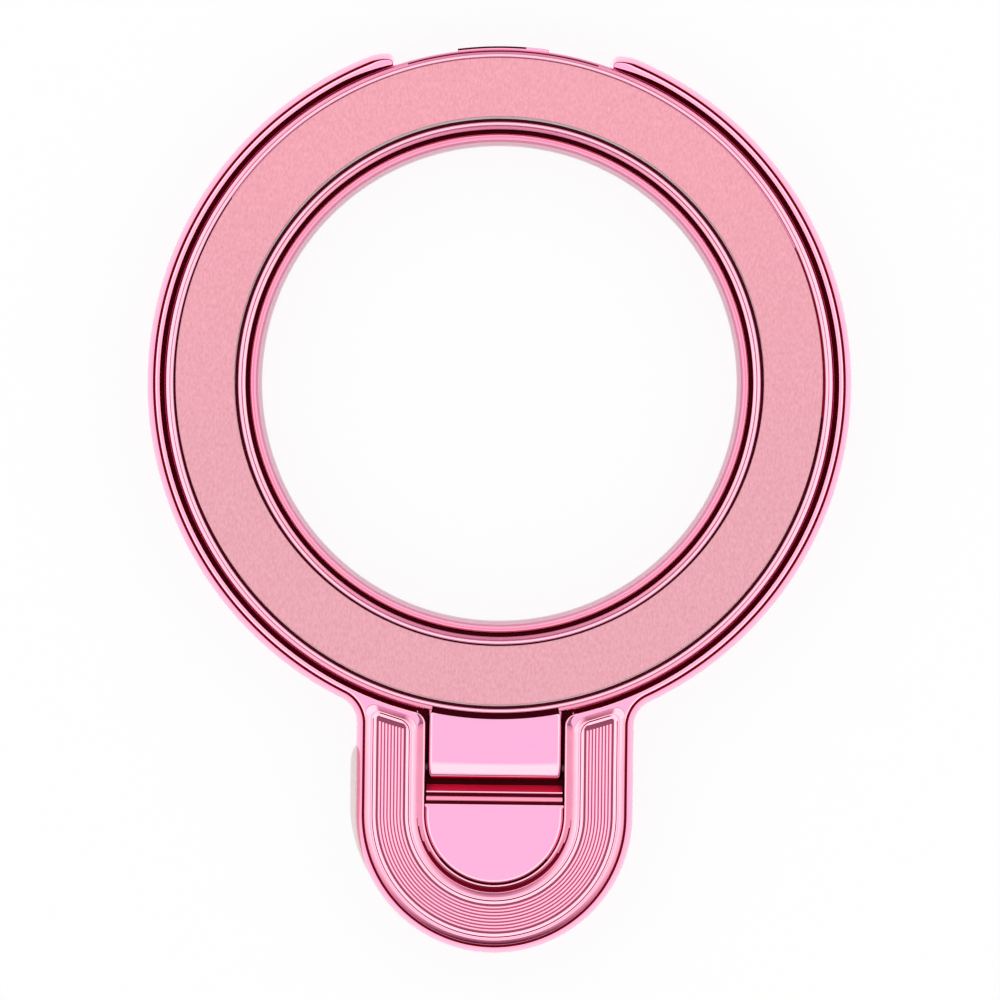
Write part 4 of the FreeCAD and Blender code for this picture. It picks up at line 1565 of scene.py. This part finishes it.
@dataclass
class HingeCover:
    """The D-shaped plate behind the hinge, with a ridge and a bead along its front.

    Sizes are in millimetres.
    """

    radius: float = 6.18
    front: float = 35.6
    strip_end: float = 37.30
    tab_reach: float = 38.25
    top: float = 4.1
    bottom: float = 1.32
    edge_round: float = 0.4
    corner: float = 0.12
    ridge: float = 36.24
    bead: float = 36.83
    bead_half: float = 0.2
    valley: float = 3.85
    strip_half: float = 6.02

    def build(self, finishes: Finishes) -> bpy.types.Object:
        """Builds and joins the plate and its front.

        Args:
            finishes: the stand's materials.

        Returns:
            The cover.
        """
        return join_pieces("cover_plate", [self.build_plate(finishes), self.build_front(finishes)])

    def build_plate(self, finishes: Finishes) -> bpy.types.Object:
        """Builds the plate with its rounded edge.

        Args:
            finishes: the stand's materials.

        Returns:
            The plate.
        """
        inside = self.radius - self.corner
        lower = -self.strip_end - self.corner
        points = [
            *line_points((inside, -self.strip_end), (-inside, -self.strip_end), 0.6),
            *arc_points((-inside, lower), self.corner, 90, 180, 15.0),
            *line_points((-self.radius, lower), (-self.radius, -self.tab_reach), 0.4),
            *arc_points((0.0, -self.tab_reach), self.radius, 180, 360, 3.0),
            *line_points((self.radius, -self.tab_reach), (self.radius, lower), 0.4),
            *arc_points((inside, lower), self.corner, 0, 90, 15.0),
        ]
        rounds = [self.edge_round if y < lower else 0.08 for _, y in points]
        outline = OutlineSkin(points, rounds, [0.0] * len(points))
        rows = outline.shoulder(self.top, 10)
        rows.append(outline.flank(self.top, [self.bottom] * len(points)))
        plate = Shell.solid("plate_d", rows, finishes.plated)

        def painted_edge(middle: Vector, normal: Vector) -> bool:
            """Tells the steep part of the rounded edge, which takes a painted reflection."""
            return middle.z > self.top - 0.4 and normal.z < 0.82

        def end_painted_shade(middle: Vector, normal: Vector) -> bool:
            """Tells the edge at the round end, which is painted shade."""
            return painted_edge(middle, normal) and middle.y < -self.tab_reach - self.radius * 0.6

        # A painted reflection on the rounded edge, with painted shade at the round end.
        paint_faces(plate, finishes.rose_painted_reflection, painted_edge)
        paint_faces(plate, finishes.dark, end_painted_shade)
        return plate

    def build_front(self, finishes: Finishes) -> bpy.types.Object:
        """Builds the sloped front with its ridge, and the bead between two valleys of painted shade.

        Args:
            finishes: the stand's materials.

        Returns:
            The front.
        """
        turn = arc_points((0.0, 0.0), 1.0, 0, 180, 15.0)
        bead = [(self.bead_half * y - self.bead, self.top - 0.03 + self.bead_half * z / 2) for y, z in turn]
        side = [
            *bead,
            (-self.bead - self.bead_half, self.valley),
            (-self.strip_end - 0.02, self.valley),
            (-self.strip_end - 0.02, self.bottom),
            (-self.front, self.bottom),
            (-self.front, self.top - 0.8),
            *arc_points((-self.ridge, self.top - 0.12), 0.1, 35, 150, 15.0),
            (-self.ridge - 0.11, self.valley),
            (-self.bead + self.bead_half, self.valley),
        ]
        rows = [[(x, y, z) for y, z in side] for x in (-self.strip_half, self.strip_half)]
        front = Shell.solid("front_strip", rows, finishes.plated)
        for face in front.data.polygons:
            face.use_smooth = False
        shaded = self.valley + 0.12
        bead_end = 0.3 - self.bead
        # A painted reflection on the bead's crest, painted shade on the sloped front and in the valleys.
        paint_faces(front, finishes.rose_painted_reflection, lambda at, normal: at.z > self.top - 0.02 and at.y < bead_end)
        paint_faces(front, finishes.deep_painted_shade, lambda at, normal: at.y > -self.ridge and normal.z < 0.8)
        paint_faces(front, finishes.shade, lambda at, normal: at.z < shaded and at.y < -self.ridge)
        return front


@dataclass
class FacingPad:
    """The woven facing on its backing film, bonded into the ring's recess. Sizes are in millimetres."""

    inner: float = 23.45
    outer: float = 28.66
    bottom: float = 4.2
    top: float = 4.5
    shift: Pair = (-0.02, 0.17)
    film_inner: float = 23.42
    film_outer: float = 28.6
    film: float = 0.04

    def build(self, finishes: Finishes, turned: TurnedProfile) -> bpy.types.Object:
        """Turns the facing, which lies a little off centre, and the film under it, whose lower half takes a
        pale painted reflection.

        Args:
            finishes: the stand's materials.
            turned: the tree for turned parts.

        Returns:
            The facing.
        """
        edges = (self.inner, self.outer)
        facing = self.turn_sheet("facing", edges, self.top, self.shift, finishes.facing, turned)
        edges = (self.film_inner, self.film_outer)
        film = self.turn_sheet("film", edges, self.bottom + self.film, (0.0, 0.0), finishes.film, turned)
        # The film's lower half takes a pale painted reflection.
        paint_faces(film, finishes.edge, lambda middle, normal: middle.y < 0)
        return join_pieces("woven_pad", [facing, film])

    def turn_sheet(
        self,
        name: str,
        edges: Pair,
        top: float,
        shift: Pair,
        material: bpy.types.Material,
        turned: TurnedProfile,
    ) -> bpy.types.Object:
        """Turns a flat sheet with softened upper edges.

        Args:
            name: the sheet's name.
            edges: its inner and outer radius.
            top: height of its upper face.
            shift: its middle's place from the ring's centre.
            material: its material.
            turned: the tree for turned parts.

        Returns:
            The sheet.
        """
        soft = min(0.1, (top - self.bottom) / 3)
        corners = [(edges[0], self.bottom, 0.0), (edges[1], self.bottom, 0.0)]
        corners += [(edges[1], top, soft), (edges[0], top, soft)]
        return turned.turn(name, rounded_profile(corners), material, shift=shift)


@dataclass
class Adhesive:
    """The foam tape under the tray and under the tab. Sizes are in millimetres."""

    thickness: float = 0.5
    ring_inner: float = 21.35
    ring_outer: float = 29.40
    patch_radius: float = 12.0
    patch_x: float = -0.8
    patch_reach: float = 37.4
    patch_top: float = -31.2
    corner: float = 2.5

    def build_ring(self, foam: bpy.types.Material, turned: TurnedProfile) -> bpy.types.Object:
        """Turns the tape under the tray.

        Args:
            foam: the tape's material.
            turned: the tree for turned parts.

        Returns:
            The tape.
        """
        profile = rounded_profile(
            [
                (self.ring_inner, 0.0, 0.06),
                (self.ring_outer, 0.0, 0.06),
                (self.ring_outer, self.thickness, 0.06),
                (self.ring_inner, self.thickness, 0.06),
            ]
        )
        return turned.turn("tape_ring", profile, foam, 240)

    def build_patch(self, foam: bpy.types.Material) -> bpy.types.Object:
        """Builds the tape under the tab, a little off to the left.

        Args:
            foam: the tape's material.

        Returns:
            The tape.
        """
        low = (self.patch_x, -self.patch_reach)
        left = self.patch_x - self.patch_radius
        right = self.patch_x + self.patch_radius
        inner = self.patch_top - self.corner
        points = [
            *arc_points(low, self.patch_radius, 180, 360, 3.0),
            *line_points((right, low[1]), (right, inner), 0.8),
            *arc_points((right - self.corner, inner), self.corner, 0, 90, 8.0),
            *arc_points((left + self.corner, inner), self.corner, 90, 180, 8.0),
            *line_points((left, inner), (left, low[1]), 0.8),
        ]
        outline = OutlineSkin(points, [0.06] * len(points), [0.0] * len(points))
        rows = outline.shoulder(self.thickness, 4)
        rows.append(outline.flank(self.thickness, [0.0] * len(points)))
        return Shell.solid("tape_patch", rows, foam)


# Tones of the ceiling that mirrors see, from straight above to its edge.
CEILING_TONES = (
    (0.0, (0.60, 0.60, 0.60)),
    (0.14, (0.60, 0.60, 0.60)),
    (0.26, (0.95, 0.95, 0.72)),
    (0.80, (0.95, 0.93, 0.70)),
    (0.91, (0.50, 0.34, 0.34)),
    (1.0, (0.07, 0.012, 0.025)),
)


@dataclass
class Studio:
    """The white floor, the soft light and the camera straight above the stand."""

    camera_height: float = 1.45
    lens: float = 587.8
    camera_x: float = 0.00018
    camera_y: float = 0.0
    camera_roll: float = 0.7
    floor_half: float = 4.0
    floor_height: float = -0.0002
    floor_edge: float = 0.004
    floor_glow: float = 0.84
    # Strength of the painted glow that mirrors see on the floor beside the stand, and farther away.
    near_painted_glow: float = 1.6
    far_painted_glow: float = 0.6
    ceiling: Pair = (0.85, 0.74)
    ceiling_light: float = 1.7
    horizon: Colour = (0.56, 0.52, 0.50)
    horizon_span: Pair = (0.42, 0.58)
    lamp_place: tuple[float, float, float] = (-0.3, 0.5, 1.4)
    lamp_size: float = 1.2
    lamp_power: float = 0.6

    def set_up(self) -> None:
        """Builds the floor, the light and the camera."""
        self.lay_floor()
        self.light_world()
        self.hang_lamp()
        self.set_camera()

    def lay_floor(self) -> None:
        """Lays the white floor, with a painted glow that mirrors see bright beside the stand and dark farther
        away.
        """
        nodes, shader, place, material = start_material("white_floor")
        speck = nodes.add("ShaderNodeTexNoise", {"Vector": place, "Scale": 400.0})
        tone = nodes.remap(speck.outputs[0], (0.95, 0.97))
        colour = nodes.add("ShaderNodeCombineColor", {channel: tone for channel in range(3)})
        nodes.feed(shader, {"Base Color": colour.outputs[0], "Roughness": 0.9})
        path = nodes.add("ShaderNodeLightPath")
        glossy = path.outputs["Is Glossy Ray"]
        # Painted glow: mirrors see the floor glow brightly beside the stand and dimly farther away.
        away = nodes.remap(self.distance(nodes, place), (0.0, 1.0), (0.0, self.floor_edge))
        level = nodes.remap(away, (self.near_painted_glow, self.far_painted_glow))
        lift = nodes.math("SUBTRACT", level, 1.0)
        strength = nodes.math("MULTIPLY_ADD", glossy, lift, 1.0)
        glow = nodes.add("ShaderNodeEmission", {"Color": (1.0, 1.0, 1.0, 1.0), "Strength": strength})
        share = nodes.math("MULTIPLY_ADD", path.outputs["Is Camera Ray"], self.floor_glow, glossy)
        both = nodes.add("ShaderNodeMixShader", {0: share, 1: shader.outputs[0], 2: glow.outputs[0]})
        nodes.feed(nodes.tree.nodes["Material Output"], {"Surface": both.outputs[0]})
        half = self.floor_half
        mesh = bpy.data.meshes.new("floor")
        corners = [(-half, -half), (half, -half), (half, half), (-half, half)]
        mesh.from_pydata([(x, y, self.floor_height) for x, y in corners], [], [[0, 1, 2, 3]])
        mesh.materials.append(material)
        floor = add_object("floor", mesh)

    def distance(self, nodes: Nodes, place: bpy.types.NodeSocket) -> bpy.types.NodeSocket:
        """Adds nodes for the floor's distance from the stand's outline.

        Args:
            nodes: the floor's tree.
            place: the place on the floor.

        Returns:
            The distance in metres, below zero under the stand.
        """
        tray, tab = BaseTray(), RING_Y - BaseTray().tab_reach
        ring = nodes.add("ShaderNodeVectorMath", {0: place, 1: (0.0, RING_Y * MM, 0.0)}, operation="DISTANCE")
        from_ring = nodes.math("SUBTRACT", ring.outputs["Value"], tray.tray_radius * MM)
        point = nodes.add("ShaderNodeSeparateXYZ", {0: place})
        below = nodes.math("MINIMUM", nodes.math("SUBTRACT", point.outputs[1], tab * MM), 0.0)
        beyond = nodes.math("MAXIMUM", point.outputs[1], below)
        across = nodes.math("POWER", point.outputs[0], 2.0)
        reach = nodes.math("SQRT", nodes.math("MULTIPLY_ADD", beyond, beyond, across))
        from_tab = nodes.math("SUBTRACT", reach, tray.tab_radius * MM)
        return nodes.math("MINIMUM", from_ring, from_tab)

    def light_world(self) -> None:
        """Lights the room white, and shows mirrors a bright ceiling above dark walls."""
        world = bpy.data.worlds.new("studio")
        world.use_nodes = True
        bpy.context.scene.world = world
        nodes = Nodes(world.node_tree)
        white = nodes.tree.nodes["Background"]
        nodes.feed(white, {"Color": (1.0, 1.0, 1.0, 1.0), "Strength": 1.0})
        way = nodes.add("ShaderNodeSeparateXYZ", {0: nodes.add("ShaderNodeTexCoord").outputs["Generated"]})
        parts = [nodes.math("DIVIDE", way.outputs[axis], self.ceiling[axis]) for axis in (0, 1)]
        squares = [nodes.math("MULTIPLY", part, part) for part in parts]
        spread = nodes.math("SQRT", nodes.math("ADD", *squares))
        ramp = nodes.add("ShaderNodeValToRGB", {0: spread})
        elements = ramp.color_ramp.elements
        while len(elements) < len(CEILING_TONES):
            elements.new(0.5)
        for element, (spot, colour) in zip(elements, CEILING_TONES):
            element.position = spot
            element.color = (*colour, 1.0)
        low = nodes.remap(way.outputs[2], (1.0, 0.0), self.horizon_span)
        colour = nodes.blend(low, ramp.outputs[0], self.horizon)
        mirrored = nodes.add("ShaderNodeBackground", {"Color": colour, "Strength": self.ceiling_light})
        glossy = nodes.add("ShaderNodeLightPath").outputs["Is Glossy Ray"]
        both = nodes.add("ShaderNodeMixShader", {0: glossy, 1: white.outputs[0], 2: mirrored.outputs[0]})
        nodes.feed(nodes.tree.nodes["World Output"], {"Surface": both.outputs[0]})

    def hang_lamp(self) -> None:
        """Hangs a large soft lamp that only the matt surfaces see."""
        lamp = bpy.data.lights.new("softbox", "AREA")
        lamp.shape = "DISK"
        lamp.size = self.lamp_size
        lamp.energy = self.lamp_power
        holder = add_object("softbox", lamp)
        holder.location = self.lamp_place
        holder.rotation_euler = (-holder.location).to_track_quat("-Z", "Y").to_euler()
        holder.visible_glossy = False

    def set_camera(self) -> None:
        """Sets the camera straight above the stand."""
        data = bpy.data.cameras.new("camera")
        data.lens = self.lens
        data.clip_end = 20.0
        camera = add_object("camera", data)
        camera.location = (self.camera_x, self.camera_y, self.camera_height)
        camera.rotation_euler = (0.0, 0.0, math.radians(self.camera_roll))
        bpy.context.scene.camera = camera


def dress_node(node: bpy.types.Object, material: bpy.types.Material) -> None:
    """Gives a CAD node its material.

    Args:
        node: the CAD node's object.
        material: the material.
    """
    node.data.materials.clear()
    node.data.materials.append(material)


def main() -> None:
    """Builds the stand and the studio in order."""
    logging.basicConfig(level=logging.INFO, format="%(message)s")
    for stray in list(bpy.data.objects):
        bpy.data.objects.remove(stray)
    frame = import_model()
    bpy.context.scene.view_settings.view_transform = "Standard"
    finishes = Finishes.mix()
    turned = TurnedProfile()
    ribs = SweptRibs()
    hand_over(BaseTray().build(finishes, turned, ribs), Body.BASE, "base_tray")
    hand_over(FlipRing().build(finishes, turned), Body.RING, "flip_ring")
    hand_over(HingeCover().build(finishes), Body.BASE, "hinge_cover")
    hand_over(FacingPad().build(finishes, turned), Body.RING, "ring_pad")
    tape = Adhesive()
    hand_over(tape.build_ring(finishes.adhesive, turned), Body.BASE, "adhesive_ring")
    hand_over(tape.build_patch(finishes.adhesive), Body.BASE, "adhesive_tab")
    for name, node in frame["nodes"].items():
        if name.startswith("ring_magnet"):
            dress_node(node, finishes.magnet)
    # The hinge pin is nearly black as painted shade, since it lies in shadow.
    dress_node(frame["nodes"]["hinge_pin"], finishes.steel)
    Studio().set_up()


if __name__ == "__main__":
    main()
